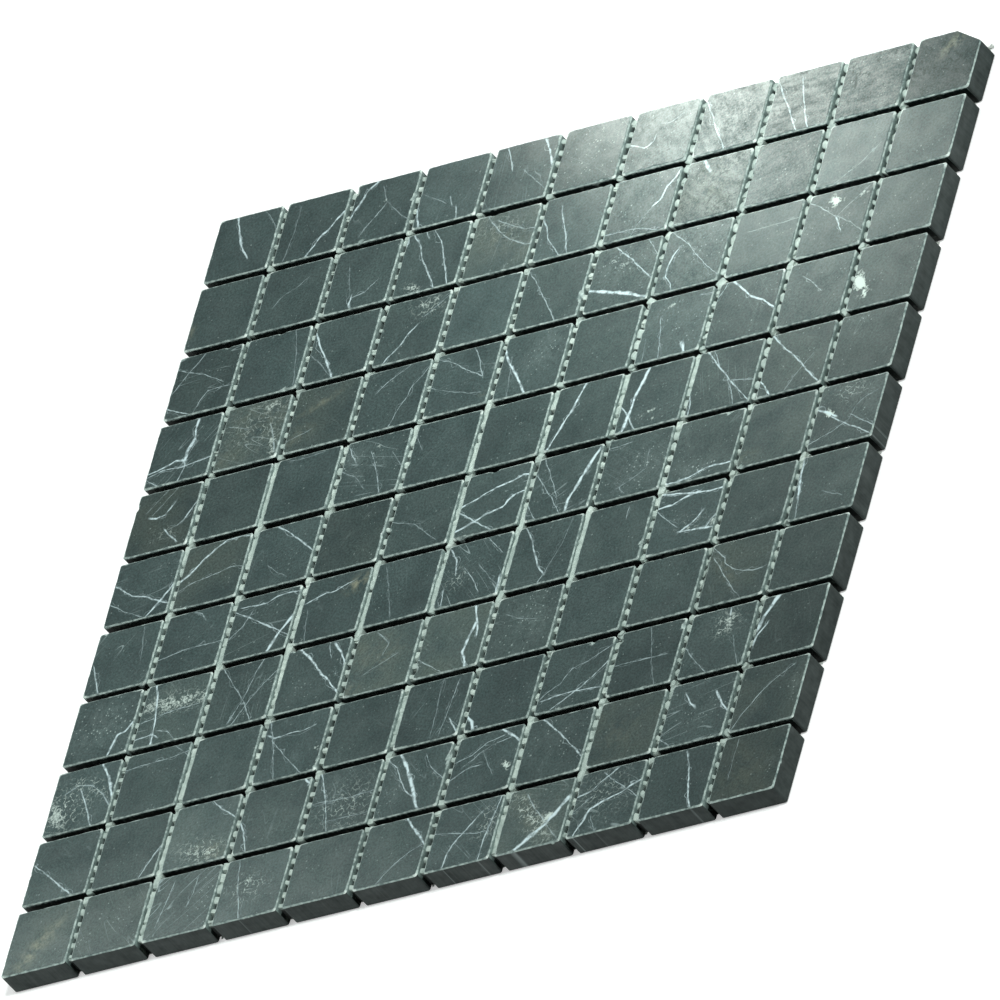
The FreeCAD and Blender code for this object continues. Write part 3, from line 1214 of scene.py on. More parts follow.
def lay_worn_edges(tree, colour, whole, edge, sawn, bruise):
    """Pale bruises on the worn arris and beside it."""
    pale = cloudy(tree, clouds, whole, 500.0, 3.0)
    pale = blend(tree, pale, (0.13, 0.175, 0.17), (0.45, 0.54, 0.51))
    corner = attribute(tree, "corner", "Fac")
    beside = calc(tree, "MULTIPLY_ADD", bruise, -0.8, attribute(tree, "edge", "Fac"))
    beside = calc(tree, "MULTIPLY_ADD", corner, -0.22, beside)
    beside = calc(tree, "MULTIPLY", remap(tree, beside, 0.09, -0.20), 0.85)
    beside = calc(tree, "MULTIPLY", beside, calc(tree, "SUBTRACT", 1.0, sawn))
    white = remap(tree, calc(tree, "MULTIPLY", corner, bruise), 0.38, 0.58)
    pale = blend(tree, white, pale, (0.66, 0.74, 0.70))
    return blend(tree, calc(tree, "MAXIMUM", edge, beside), colour, pale)


print("walls and edges ready")

# %% [markdown]
# ## Shine
#
# The honed face has a soft shine like a thin coat. It is blotched, weaker in the pits and
# on dark chips, and half gone on walls and worn edges. The unevenly honed chips at the back
# right show it in drawn streaks.

# %% Shine, and the whole material
def shine_of(tree, slab, mottle, uneven, pits, lightness, dull):
    """How much of the shiny coat there is at each place."""
    swing = calc(tree, "MULTIPLY_ADD", uneven, 0.12, 0.15)
    shine = calc(tree, "MULTIPLY_ADD", calc(tree, "SUBTRACT", mottle, 0.5), swing, 0.44)
    drawn = {"Vector": slab, "Scale": (0.25, 1.0, 0.5)}
    drawn = add(tree, "ShaderNodeMapping", drawn).outputs[0]
    drawn = noise(tree, drawn, 420.0, 3.0, 0.65, flat=True)[0]
    drawn = calc(tree, "MULTIPLY", calc(tree, "SUBTRACT", drawn, 0.5), uneven)
    shine = calc(tree, "ADD", drawn, shine)
    blotch = calc(tree, "SUBTRACT", cloudy(tree, flat_clouds, slab, 120.0, 2.4), 0.5)
    swing = calc(tree, "MULTIPLY_ADD", uneven, 0.14, 0.20)
    shine = calc(tree, "MULTIPLY_ADD", blotch, swing, shine)
    shine = calc(tree, "MULTIPLY", shine, calc(tree, "MULTIPLY_ADD", pits, -0.6, 1.0))
    shine = calc(tree, "MULTIPLY", shine, lightness, clamp=True)
    return calc(tree, "MULTIPLY", shine, calc(tree, "MULTIPLY_ADD", dull, -0.5, 1.0))


def build_marble():
    """The black marble, from honed face to sawn wall."""
    material, tree, shader = new_material("honed black marble")
    whole = add(tree, "ShaderNodeTexCoord").outputs["Object"]
    slab = attribute(tree, "slab")
    tone = add(tree, "ShaderNodeSeparateXYZ", {0: attribute(tree, "tone")}).outputs
    lightness, warmth, scratched = tone[0], tone[1], tone[2]
    smudge = add(tree, "ShaderNodeSeparateXYZ", {0: attribute(tree, "smudge")}).outputs
    uneven, depth = attribute(tree, "uneven", "Fac"), attribute(tree, "depth", "Fac")
    patchy = noise(tree, slab, 110.0, flat=True)[0]
    mottle = cloudy(tree, flat_clouds, slab, 1200.0, 5.0)
    bruise = noise(tree, whole, 330.0, detail=2.0, roughness=0.65)[0]

    colour, grain = lay_ground(tree, slab, lightness, warmth)
    colour = lay_flecks(tree, colour, slab, smudge[SMUDGE_KINDS.index("dust")])
    colour, marks = lay_hone_marks(tree, colour, whole, scratched)
    colour = lay_hairs(tree, colour, slab, scratched, patchy)
    colour, pits = lay_pits(tree, colour, slab, uneven, patchy)
    colour = lay_smudges(tree, colour, slab, smudge, mottle)
    colour, veined = lay_veins(tree, colour, slab)
    sawn = remap(tree, depth, 0.02, 0.3)
    colour = blend(tree, sawn, colour, wall_colour(tree, whole, depth, veined, bruise))
    edge = remap(tree, attribute(tree, "worn", "Fac"), 0.02, 0.16)
    colour = lay_worn_edges(tree, colour, whole, edge, sawn, bruise)

    dull = calc(tree, "MAXIMUM", sawn, edge)
    shine = shine_of(tree, slab, mottle, uneven, pits, lightness, dull)
    tree.links.new(shine, shader.inputs["Coat Weight"])
    shader.inputs["Specular IOR Level"].default_value = 0.10
    shader.inputs["Coat Roughness"].default_value = 0.31
    shader.inputs["Coat IOR"].default_value = 1.75
    rough = calc(tree, "MULTIPLY_ADD", grain, 0.12, 0.35)
    rough = calc(tree, "MULTIPLY_ADD", veined, 0.08, rough)
    rough = calc(tree, "MULTIPLY_ADD", dull, 0.35, rough)
    fine = cloudy(tree, flat_clouds, slab, 2600.0, 2.0, 0.0)
    height = calc(tree, "MULTIPLY_ADD", fine, 0.4, calc(tree, "MULTIPLY", marks, -1.0))
    dress(tree, shader, colour, rough, height, 0.20, 0.04 * MM)
    return material


marble = build_marble()
print("marble:", len(marble.node_tree.nodes), "nodes")

# %% [markdown]
# ## What sets one chip apart from another
#
# The chips were cut from many places in the stone, so they differ in more than their veins.
# How warm, how light, how unevenly honed and how scratched a chip is was judged from the
# photograph, and everything that isn't listed is left to chance.

# %% Traits of the chips, by row and column
WARM_CHIPS = {
    (2, 5): 0.9, (2, 8): 0.7, (4, 2): 1.0, (4, 3): 0.7, (5, 1): 1.0, (6, 2): 0.7, (6, 4): 0.4,
    (6, 10): 0.5, (8, 5): 0.8, (8, 6): 0.6, (8, 2): 0.4, (8, 10): 0.6, (10, 3): 0.4,
    (10, 9): 0.9, (11, 1): 0.5, (11, 8): 0.5, (11, 2): 0.4, (11, 11): 0.9, (5, 10): 0.4,
    (10, 11): 0.5,
}
# Lightness factors: mostly each chip's own tone, but (1, 3), (1, 4) and (2, 7) are lightened as
# painted sheen, where the lamps' highlight at the back falls short.
LIGHTNESS = {
    0.76: {(1, 11), (9, 11)},
    0.82: {(3, 1), (6, 4), (7, 10), (8, 11), (10, 11), (11, 10), (11, 11), (9, 6)},
    0.90: {
        (1, 10), (4, 11), (5, 1), (5, 2), (5, 11), (6, 11), (7, 3), (7, 4), (7, 5), (8, 1),
        (8, 7), (8, 8), (8, 10), (9, 8), (9, 9), (9, 10), (9, 7),
    },
    1.12: {
        (1, 3), (1, 5), (1, 8), (2, 3), (2, 4), (2, 6), (3, 5), (3, 6), (3, 7), (3, 8), (4, 7),
        (4, 8), (7, 1), (11, 4), (11, 7),
    },
    1.22: {
        (1, 4), (2, 7), (2, 10), (4, 2), (8, 2), (8, 6), (10, 3), (11, 8), (9, 1), (8, 5),
    },
    1.30: {(2, 5)},
}
UNEVEN_CHIPS = {
    (1, 6): 0.3, (1, 7): 0.5, (1, 8): 0.8, (1, 9): 1.0, (1, 10): 1.0, (1, 11): 0.8,
    (2, 7): 0.6, (2, 8): 0.9, (2, 9): 0.7, (3, 7): 0.4, (3, 8): 0.5, (3, 10): 0.3,
    (4, 10): 0.3,
}
SCRATCHED_CHIPS = {
    (1, 5): 1.0, (1, 6): 0.8, (2, 5): 0.9, (3, 1): 1.2, (4, 1): 1.0, (4, 2): 1.2, (4, 5): 0.8,
    (5, 4): 1.3, (5, 9): 0.8, (6, 1): 1.0, (6, 7): 1.0, (6, 8): 0.8, (7, 1): 1.3, (7, 2): 0.8,
    (7, 3): 0.9, (7, 6): 1.3, (7, 7): 0.7, (8, 3): 0.8, (8, 7): 0.6, (9, 6): 0.8, (10, 4): 0.6,
    (10, 5): 0.8, (10, 6): 0.8, (10, 10): 1.2, (11, 2): 1.0, (11, 3): 1.4, (11, 7): 1.0,
    (11, 8): 1.0, (11, 9): 1.2,
}
rng = np.random.default_rng(2024)


def chip_tone(chip):
    """How light, how warm and how scratched a chip is."""
    lightness = rng.uniform(0.92, 1.08)
    lightness *= next((k for k, chips in LIGHTNESS.items() if chip in chips), 1.0)
    warmth = WARM_CHIPS.get(chip, 0) + rng.uniform(0, 0.25)
    scratched = max(SCRATCHED_CHIPS.get(chip, 0), rng.uniform(0.1, 0.6))
    return lightness, min(warmth, 1), scratched


def slab_places(local):
    """Places in an imagined slab: turned and moved at random, but alike for a whole chip."""
    turn, away = rng.uniform(0, 2 * math.pi), rng.uniform(-0.4, 0.4, 3)
    c, s = math.cos(turn), math.sin(turn)
    return local @ np.array(((c, s, 0), (-s, c, 0), (0, 0, 1))) + away


print(len(WARM_CHIPS), "warm chips,", len(SCRATCHED_CHIPS), "scratched chips")

# %% [markdown]
# ## Lay the rows
#
# Each row becomes one plain mesh with its own seed. Then every point gets its vein layers,
# its smudges, the tone of its chip and its place in the slab. A chip that its shift has put
# past the edge of the imported sheet is moved back.

# %% Mark the points of a row
# How far down a wall in a joint keeps its painted pale band, in millimetres, before painted
# shade covers it: further on side walls than on front and back walls.
UNSHADED_ACROSS, UNSHADED_ALONG, OUTSIDE = 3.2, 0.7, 20.0

# How far from a corner, in millimetres, the edges are bruised white.
CORNER_REACH = 3.0

# What a point stores for a layer without a vein: far away, thin, and of no strength.
NO_VEIN = (9.0, 0.1, 0.0)


def read_vectors(data, field):
    """The vectors of all points of a mesh, one to a row."""
    values = np.zeros(len(data) * 3)
    data.foreach_get(field, values)
    return values.reshape(-1, 3)


def columns_of(mesh):
    """For each point of a row, the number of its chip, from 1."""
    column = np.zeros(len(mesh.vertices))
    mesh.attributes["column"].data.foreach_get("value", column)
    return np.round(column).astype(int) + 1


def nearest_vein(places, lines):
    """What each place on a chip stores for the nearest vein of one layer."""
    best = np.full(len(places), FAR)
    values = np.tile(NO_VEIN, (len(places), 1))
    for kind, line, _ in lines:
        half_width, strength = VEIN_KINDS[kind]
        signed, beyond = distance_to_line(places, line)
        fade = np.clip(1 - beyond / END_FADE, 0, 1) * (np.abs(signed) < APART / 2)
        found = np.stack((signed, np.full(len(places), half_width), strength * fade), 1)
        away = np.hypot(signed, beyond)
        values[away < best] = found[away < best]
        best = np.minimum(away, best)
    return values


def mark_row(mesh, row):
    """Stores what the marble needs on every point of one row."""
    place = read_vectors(mesh.attributes["place"].data, "vector")
    spots = read_vectors(mesh.vertices, "co") / MM
    column = columns_of(mesh)
    count = len(column)

    outer = np.abs(spots[:, :2]).max(1) > HALF_SHEET / MM - 0.5
    aside = np.abs(place[:, :2] - CHIP / MM / 2)
    # How far down each wall in a joint keeps its painted pale band before painted shade begins.
    clean_unshaded = np.where(aside[:, 0] > aside[:, 1], UNSHADED_ACROSS, UNSHADED_ALONG)
    store(mesh, "clean_unshaded", "FLOAT", np.where(outer, OUTSIDE, clean_unshaded))
    corner = np.hypot(*(CHIP / MM / 2 - aside).clip(0).T)
    store(mesh, "corner", "FLOAT", np.exp(-(corner / CORNER_REACH) ** 2))

    layers = np.tile(NO_VEIN, (VEIN_LAYERS, count, 1))
    marks, uneven = np.zeros((count, len(SMUDGE_KINDS))), np.zeros(count)
    tone, slab = np.zeros((count, 3)), np.zeros((count, 3))
    for number in range(1, CHIPS_A_ROW + 1):
        here, mine = (row, number), column == number
        flat = place[mine, :2]
        for layer, lines in enumerate(layers_of.get(here, [])):
            layers[layer, mine] = nearest_vein(flat, lines)
        marks[mine] = smudge_fields(flat, smudges.get(here, []))
        uneven[mine] = UNEVEN_CHIPS.get(here, 0.0)
        tone[mine] = chip_tone(here)
        slab[mine] = slab_places(np.column_stack((flat, spots[mine, 2])) * MM)
    for layer in range(VEIN_LAYERS):
        store(mesh, "vein_%d" % layer, "FLOAT_VECTOR", layers[layer])
    store(mesh, "smudge", "FLOAT_VECTOR", marks[:, :3])
    store(mesh, "crackle", "FLOAT", marks[:, 3])
    store(mesh, "uneven", "FLOAT", uneven)
    store(mesh, "tone", "FLOAT_VECTOR", tone)
    store(mesh, "slab", "FLOAT_VECTOR", slab)


print("ready to mark", VEIN_LAYERS, "layers of veins and", len(SMUDGE_KINDS), "kinds of smudge")

# %% Lay, mark and fit the rows
def keep_in_box(mesh):
    """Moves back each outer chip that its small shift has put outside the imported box."""
    points = read_vectors(mesh.vertices, "co")
    column = columns_of(mesh)
    for number in range(1, CHIPS_A_ROW + 1):
        mine = column == number
        over = np.maximum(points[mine].max(0) - np.array(cad_high), 0)
        under = np.maximum(np.array(cad_low) - points[mine].min(0), 0)
        points[mine] += under - over
    mesh.vertices.foreach_set("co", points.ravel())
    mesh.update()


rows = []
for row in range(1, CHIPS_A_ROW + 1):
    piece = run_nodes("chips_row_%02d" % row, row_tree, {
        "Chip": chip,
        "Row Y": HALF_SHEET - CHIP / 2 - (row - 1) * PITCH,
        "Bottom": CHIP_BOTTOM,
        "Seed": 100 * row,
        "Material": marble,
    })
    mark_row(piece.data, row)
    keep_in_box(piece.data)
    rows.append(piece)
bpy.data.objects.remove(chip)
print(len(rows), "rows,", sum(len(r.data.polygons) for r in rows), "faces")

# %% [markdown]
# ## The broken corner
#
# The chip at the back right has lost its corner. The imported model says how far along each
# edge the break goes: a plane through both ends cuts the chip, and the cut is closed with
# one face. The parts of the mesh are sorted first, so that every run gives the same mesh.

# %% Break the corner off
import bmesh

BREAK_BACK, BREAK_SIDE = 11.3 * MM, 6.8 * MM


def break_corner(mesh):
    """Cuts the last chip's outer corner away."""
    cut = bmesh.new()
    cut.from_mesh(mesh)
    first = Vector((HALF_SHEET - BREAK_BACK, HALF_SHEET, 0))
    second = Vector((HALF_SHEET, HALF_SHEET - BREAK_SIDE, 0))
    outward = (second - first).cross(Vector((0, 0, -1))).normalized()
    if outward.dot(Vector((1, 1, 0))) < 0:
        outward.negate()
    near = [f for f in cut.faces if f.calc_center_median().x > HALF_SHEET - CHIP - JOINT / 2]
    verts = sorted({v for f in near for v in f.verts}, key=lambda v: v.index)
    edges = sorted({e for f in near for e in f.edges}, key=lambda e: e.index)
    made = bmesh.ops.bisect_plane(
        cut, geom=verts + edges + near, plane_co=first, plane_no=outward, clear_outer=True,
        dist=1e-7,
    )
    rim = [e for e in made["geom_cut"] if isinstance(e, bmesh.types.BMEdge)]
    bmesh.ops.holes_fill(cut, edges=rim, sides=0)
    bmesh.ops.recalc_face_normals(cut, faces=cut.faces)
    cut.to_mesh(mesh)
    cut.free()
    mesh.update()


break_corner(rows[0].data)
print("corner chip cut,", len(rows[0].data.polygons), "faces in its row")

# %% [markdown]
# ## The glass-fibre net
#
# The net under the chips is woven: each thread passes over one thread and under the next.
# Geometry Nodes lay straight threads side by side, give them a tube's section, and then
# press them flat and bend them up and down with one wave in both directions, so that a
# warp goes down exactly where a weft comes up.

# %% Geometry nodes for threads
THREAD_PITCH = 4.4 * MM
THREADS = 69
THREAD_INPUTS = [
    ("Along X", "Bool", False),
    ("Threads", "Int", THREADS),
    ("Thread Pitch", "Float", 0.0044),
    ("Length", "Float", 0.302),
    ("Width", "Float", 0.001),
    ("Thickness", "Float", 0.00025),
    ("Middle", "Float", 0.00025),
    ("Swing", "Float", 0.000125),
    ("Material", "Material"),
]


def build_thread_tree():
    """The node tree that lays one direction of the net."""
    tree, given, made = new_group(
        "threads", "GeometryNodeTree", THREAD_INPUTS, [("Geometry", "Geometry")]
    )
    ends = [vector_of(tree, calc(tree, "MULTIPLY", given["Length"], half)) for half in (-0.5, 0.5)]
    line = add(tree, "GeometryNodeCurvePrimitiveLine", {"Start": ends[0], "End": ends[1]})
    steps = calc(tree, "MULTIPLY", given["Threads"], 2)
    split = add(tree, "GeometryNodeResampleCurve", {"Curve": line.outputs[0], "Count": steps})
    ring = add(tree, "GeometryNodeCurvePrimitiveCircle", {
        "Resolution": 6, "Radius": calc(tree, "MULTIPLY", given["Width"], 0.5),
    })
    tube = add(tree, "GeometryNodeCurveToMesh", {
        "Curve": split.outputs[0], "Profile Curve": ring.outputs[0], "Fill Caps": True,
    })
    first = from_middle(tree, 0.0, given["Threads"], given["Thread Pitch"])
    places = add(tree, "GeometryNodeMeshLine", {
        "Count": given["Threads"],
        "Start Location": vector_of(tree, y=first),
        "Offset": vector_of(tree, y=given["Thread Pitch"]),
    }, mode="OFFSET")
    solid = lay_on_points(tree, places.outputs[0], tube.outputs[0])

    where = add(tree, "ShaderNodeSeparateXYZ", {
        0: add(tree, "GeometryNodeInputPosition").outputs[0],
    }).outputs
    half_pitch = calc(tree, "ADD", where[1], THREAD_PITCH / 2)
    own_middle = calc(tree, "SNAP", half_pitch, given["Thread Pitch"])
    turns = [
        calc(tree, "MULTIPLY", calc(tree, "DIVIDE", axis, given["Thread Pitch"]), math.pi)
        for axis in (where[0], own_middle)
    ]
    wave = calc(tree, "MULTIPLY", calc(tree, "COSINE", turns[0]), calc(tree, "COSINE", turns[1]))
    side = calc(tree, "MULTIPLY_ADD", given["Along X"], 2.0, -1.0)
    swing = calc(tree, "MULTIPLY", calc(tree, "MULTIPLY", wave, side), given["Swing"])
    flat = calc(tree, "DIVIDE", given["Thickness"], given["Width"])
    height = calc(tree, "MULTIPLY_ADD", where[2], flat, calc(tree, "ADD", given["Middle"], swing))
    pressed = add(tree, "GeometryNodeSetPosition", {
        "Geometry": solid, "Position": vector_of(tree, where[0], where[1], height),
    })
    quarter = calc(tree, "MULTIPLY", calc(tree, "SUBTRACT", 1.0, given["Along X"]), math.pi / 2)
    turned = add(tree, "GeometryNodeTransform", {
        "Geometry": pressed.outputs[0], "Rotation": vector_of(tree, z=quarter),
    })
    coat(tree, turned.outputs[0], given["Material"], made)
    return tree


thread_tree = build_thread_tree()
print("thread tree:", len(thread_tree.nodes), "nodes")

# %% [markdown]
# ## Glass fibre
#
# A thread is a bundle of fine white filaments, coated so that it stays together. Fine
# stripes along the thread stand for the filaments, and patches of the coating dull it.

# %% Glass fibre
def build_fibre():
    """Coated white glass fibre."""
    material, tree, shader = new_material("glass fibre")
    where = add(tree, "ShaderNodeTexCoord").outputs["Object"]
    coating = cloudy(tree, clouds, where, 350.0, 2.0)
    colour = blend(tree, coating, (0.50, 0.54, 0.50), (0.76, 0.79, 0.75))
    filament = noise(tree, where, 3500.0, detail=1.0)[0]
    colour = blend(tree, calc(tree, "MULTIPLY", filament, 0.35), colour, (0.30, 0.33, 0.30))
    rough = calc(tree, "MULTIPLY_ADD", coating, -0.2, 0.6)
    dress(tree, shader, colour, rough, filament, 0.5, 0.05 * MM)
    return material


fibre = build_fibre()
warps = run_nodes("net_warps", thread_tree, {
    "Along X": False, "Width": 0.9 * MM, "Material": fibre,
})
wefts = run_nodes("net_wefts", thread_tree, {
    "Along X": True, "Width": 1.1 * MM, "Material": fibre,
})
print("net:", len(warps.data.polygons), "and", len(wefts.data.polygons), "faces")

# %% [markdown]
# ## The adhesive
#
# The chips are stuck down with white adhesive, laid in lines under the joints between the
# columns. It has squeezed up at every weft, so these joints show a white dab every 4.4 mm.
# Along some stretches the dabs have run together into a cream ridge that almost reaches
# the faces. Those stretches are sketched: the joint, the rows between which the ridge runs
# (1 is the back edge of the sheet), and how full it is.

# %% Sketch of the ridges
RIDGE_SKETCH = """
1 1.0 4.95 0.30
2 1.0 4.95 0.35
3 1.0 5.0 0.35
4 1.0 4.95 0.48
5 1.0 4.9 0.50
6 1.0 5.0 0.50
7 1.0 2.0 0.52
8 1.0 3.0 0.55
1 4.95 6.0 0.70
1 6.0 8.0 0.80
1 9.0 12.0 0.55
2 4.95 6.0 0.95
2 6.0 8.9 0.80
2 8.9 12.0 1.00
3 5.0 6.0 0.80
3 6.9 9.0 0.90
3 9.0 12.0 0.80
4 4.95 6.0 0.80
4 6.9 8.0 0.95
4 8.0 9.0 0.55
4 9.0 11.0 0.55
5 4.9 6.0 0.90
5 6.0 7.9 1.00
5 8.0 9.0 0.65
5 8.95 10.3 1.00
5 10.3 12.0 0.45
6 5.0 6.0 0.90
6 6.2 8.0 1.00
6 8.0 12.0 0.55
7 2.0 5.0 0.46
7 5.0 6.0 0.90
7 6.0 7.0 0.55
7 6.9 8.0 0.90
7 8.0 10.0 0.55
7 10.0 12.0 0.85
8 3.0 5.0 0.50
8 5.0 6.2 1.00
8 6.2 8.0 0.75
8 8.0 9.0 0.60
8 9.0 11.0 0.90
8 11.0 12.0 0.50
9 1.0 6.0 0.48
9 6.0 12.0 0.58
10 1.0 6.0 0.45
10 6.0 12.0 0.55
"""


ridges = [[float(n) for n in line.split()] for line in RIDGE_SKETCH.strip().splitlines()]
print(len(ridges), "stretches of ridge")

# %% [markdown]
# ## Beds and ridges
#
# The bed of each line and its ridges are one surface: a strip of points along the joint,
# whose height comes from the sketch, a wave with one crest per weft, and smooth random
# wandering. NumPy works the heights out, and the strip is closed with walls and a floor.

# %% Build the beds of adhesive
STRIP_STEP = 0.5 * MM

# Where the points lie across a joint, from wall to wall.
ACROSS = np.array((-1.0, -0.62, 0.0, 0.62, 1.0))

# How far below the faces, in millimetres, a plain bed and a full ridge lie.
DEEP, NEAR_FACE = 6.6, 0.95

# How far the lump of adhesive at a crossing of joints sits towards the front.
KNOT_SHIFT = 0.8 * MM


def wander(count, spacing, seed):
    """Smooth random values between -1 and 1, with a new target every few points."""
    targets = np.random.default_rng(seed).uniform(-1, 1, count // spacing + 3)
    return np.interp(np.arange(count) / spacing, np.arange(len(targets)), targets)


def ease(value, low, high):
    """A smooth step from 0 at low to 1 at high."""
    t = np.clip((value - low) / (high - low), 0, 1)
    return t * t * (3 - 2 * t)


def bed_heights(joint, y):
    """Heights of one strip in millimetres above the resting plane."""
    row = (HALF_SHEET - y) / PITCH + 1
    full = np.full(len(y), 0.10)
    for _, start, end, cover in (r for r in ridges if int(r[0]) == joint):
        inside = ease(row, start - 0.03, start + 0.03) * (1 - ease(row, end - 0.03, end + 0.03))
        full = np.maximum(full, cover * inside)
    crest = 0.5 + 0.5 * np.cos(2 * math.pi * y / THREAD_PITCH)
    risen = full + 0.22 * wander(len(y), 14, joint) + 0.55 * (crest - 0.5)
    risen = ease(risen, 0.38, 0.72)[:, None]
    between = (row + (0.5 * JOINT - KNOT_SHIFT) / PITCH) % 1.0
    between = np.minimum(between, 1 - between) * PITCH / MM
    size = np.random.default_rng(joint + 500).uniform(0.75, 1.0, CHIPS_A_ROW + 2)
    knot = size[np.clip(np.round(row).astype(int), 0, CHIPS_A_ROW + 1)]
    knot = (knot * np.exp(-(between / 1.9) ** 4))[:, None]
    risen = np.maximum(risen, knot)
    lean = (0.75 if joint >= 9 else 0.0) + 0.25 * wander(len(y), 30, 40 + joint)[:, None]
    lean = lean * (1 - knot)
    hollow = 0.30 * (1 - ACROSS ** 2) - 0.9 * lean * ACROSS
    rough = np.column_stack([wander(len(y), 3, 100 + 10 * joint + k) for k in range(len(ACROSS))])
    below = DEEP + (NEAR_FACE - DEEP) * risen + hollow * risen + 0.18 * rough
    slow = np.abs(wander(len(y), 18, 70 + joint))[:, None] * (1 - knot)
    return CHIP_TOP / MM - np.maximum(below + 0.5 * slow * risen - 0.3 * knot, 0.35)


def build_beds():
    """All ten strips as one mesh of closed bodies."""
    points, faces = [], []
    y = np.arange(glue_low.y, glue_high.y + STRIP_STEP / 2, STRIP_STEP)
    for joint in range(1, CHIPS_A_ROW):
        middle = -HALF_SHEET + joint * PITCH - JOINT / 2
        tops = bed_heights(joint, y)
        first = len(points)
        size = 2 * len(ACROSS)
        for place, heights in zip(y, tops):
            for level in (heights * MM, np.full(len(ACROSS), glue_low.z)):
                points += [(middle + a * JOINT / 2, place, z) for a, z in zip(ACROSS, level)]
        ring = [*range(len(ACROSS)), *range(size - 1, len(ACROSS) - 1, -1)]
        for i in range(len(y) - 1):
            here, there = first + i * size, first + (i + 1) * size
            for a, b in zip(ring, ring[1:] + ring[:1]):
                faces.append((here + a, here + b, there + b, there + a))
        faces.append([first + k for k in reversed(ring)])
        faces.append([first + (len(y) - 1) * size + k for k in ring])
    mesh = bpy.data.meshes.new("beds")
    mesh.from_pydata(points, [], faces)
    return mesh


beds = build_beds()
print("beds:", len(beds.polygons), "faces")

# %% [markdown]
# ## Dabs
#
# A dab is a small upright bar with a domed top that bridges the joint at a weft. There are
# hundreds, so it has only a few dozen faces, and Geometry Nodes set one on every weft of
# every joint, with random heights and widths. In the joints on the right the dabs lie
# aslant, and at the back right they are so wide that only slits are left between them. The
# beds come in as the tree's own geometry, so the result is one piece.

# %% Build one dab and set it everywhere
DAB_INPUTS = [
    ("Geometry", "Geometry"),
    ("Dab", "Object"),
    ("Joints", "Int", 10),
    ("Joint Pitch", "Float", 0.028),
    ("Dabs", "Int", 69),
    ("Dab Pitch", "Float", 0.0044),
    ("Foot", "Float", 0.0012),
    ("Seed", "Int", 5),
    ("Material", "Material"),
]


def build_dab(across=3, around=6):
    """A bar one unit high and wide, with its foot on z = 0 and a dome along the joint."""
    points, faces = [], []
    profile = [(-0.5, 0.0), (-0.5, 0.95)]
    profile += [
        (-0.5 * math.cos(math.pi * k / around), 0.95 + 0.05 * math.sin(math.pi * k / around))
        for k in range(1, around)
    ]
    profile += [(0.5, 0.95), (0.5, 0.0)]
    size = len(profile)
    for i in range(across + 1):
        x = -0.5 + i / across
        sag = 0.05 * (1 - (2 * x) ** 2)
        points += [(x, y, z - (sag if z > 0.5 else 0)) for y, z in profile]
    for i in range(across):
        for k in range(size):
            n = (k + 1) % size
            faces.append((i * size + k, i * size + n, (i + 1) * size + n, (i + 1) * size + k))
    faces.append(tuple(range(size - 1, -1, -1)))
    faces.append(tuple(across * size + k for k in range(size)))
    mesh = bpy.data.meshes.new("dab")
    mesh.from_pydata(points, [], faces)
    return mesh


def build_dab_tree():
    """The node tree that sets a dab on every crossing of a joint and a weft."""
    tree, given, made = new_group(
        "dabs", "GeometryNodeTree", DAB_INPUTS, [("Geometry", "Geometry")]
    )
    total = calc(tree, "MULTIPLY", given["Joints"], given["Dabs"])
    cloud = add(tree, "GeometryNodeMeshLine", {"Count": total})
    number = add(tree, "GeometryNodeInputIndex").outputs[0]
    joint = calc(tree, "DIVIDE", calc(tree, "ADD", number, 0.5), given["Dabs"])
    joint = calc(tree, "FLOOR", joint)
    dab = calc(tree, "SUBTRACT", number, calc(tree, "MULTIPLY", joint, given["Dabs"]))
    spot = vector_of(
        tree,
        from_middle(tree, joint, given["Joints"], given["Joint Pitch"]),
        from_middle(tree, dab, given["Dabs"], given["Dab Pitch"]),
        given["Foot"],
    )
    placed = add(tree, "GeometryNodeSetPosition", {
        "Geometry": cloud.outputs[0], "Position": spot,
    })
    size = random_vector(
        tree, (0.00264, 0.0013, 0.0056), (0.00272, 0.0024, 0.0064), given["Seed"], 0
    )

    # Towards the right the dabs grow longer, and at the back right they grow wider too.
    right = remap(tree, joint, 4.2, 7.0)
    wide = calc(tree, "MULTIPLY", right, remap(tree, dab, 34.0, 48.0, 0.18, 0.62))
    wide = calc(tree, "MULTIPLY", wide, remap(tree, joint, 7.5, 8.8, 1.0, 0.1))
    wide = calc(tree, "ADD", wide, 1.0)
    long = calc(tree, "MULTIPLY_ADD", right, 0.24, 1.0)
    size = vector_calc(tree, "MULTIPLY", size, vector_of(tree, long, wide, 1.0))
    turn = random_vector(tree, (0, 0, -0.32), (0, 0, 0.12), given["Seed"], 9)
    turn = vector_calc(tree, "ADD", turn, vector_of(tree, z=calc(tree, "MULTIPLY", right, -0.45)))
    shape = add(tree, "GeometryNodeObjectInfo", {"Object": given["Dab"]}).outputs["Geometry"]
    solid = lay_on_points(tree, placed.outputs[0], shape, Scale=size, Rotation=turn)
    joined = add(tree, "GeometryNodeJoinGeometry")
    tree.links.new(solid, joined.inputs[0])
    tree.links.new(given["Geometry"], joined.inputs[0])
    coat(tree, joined.outputs[0], given["Material"], made)
    return tree


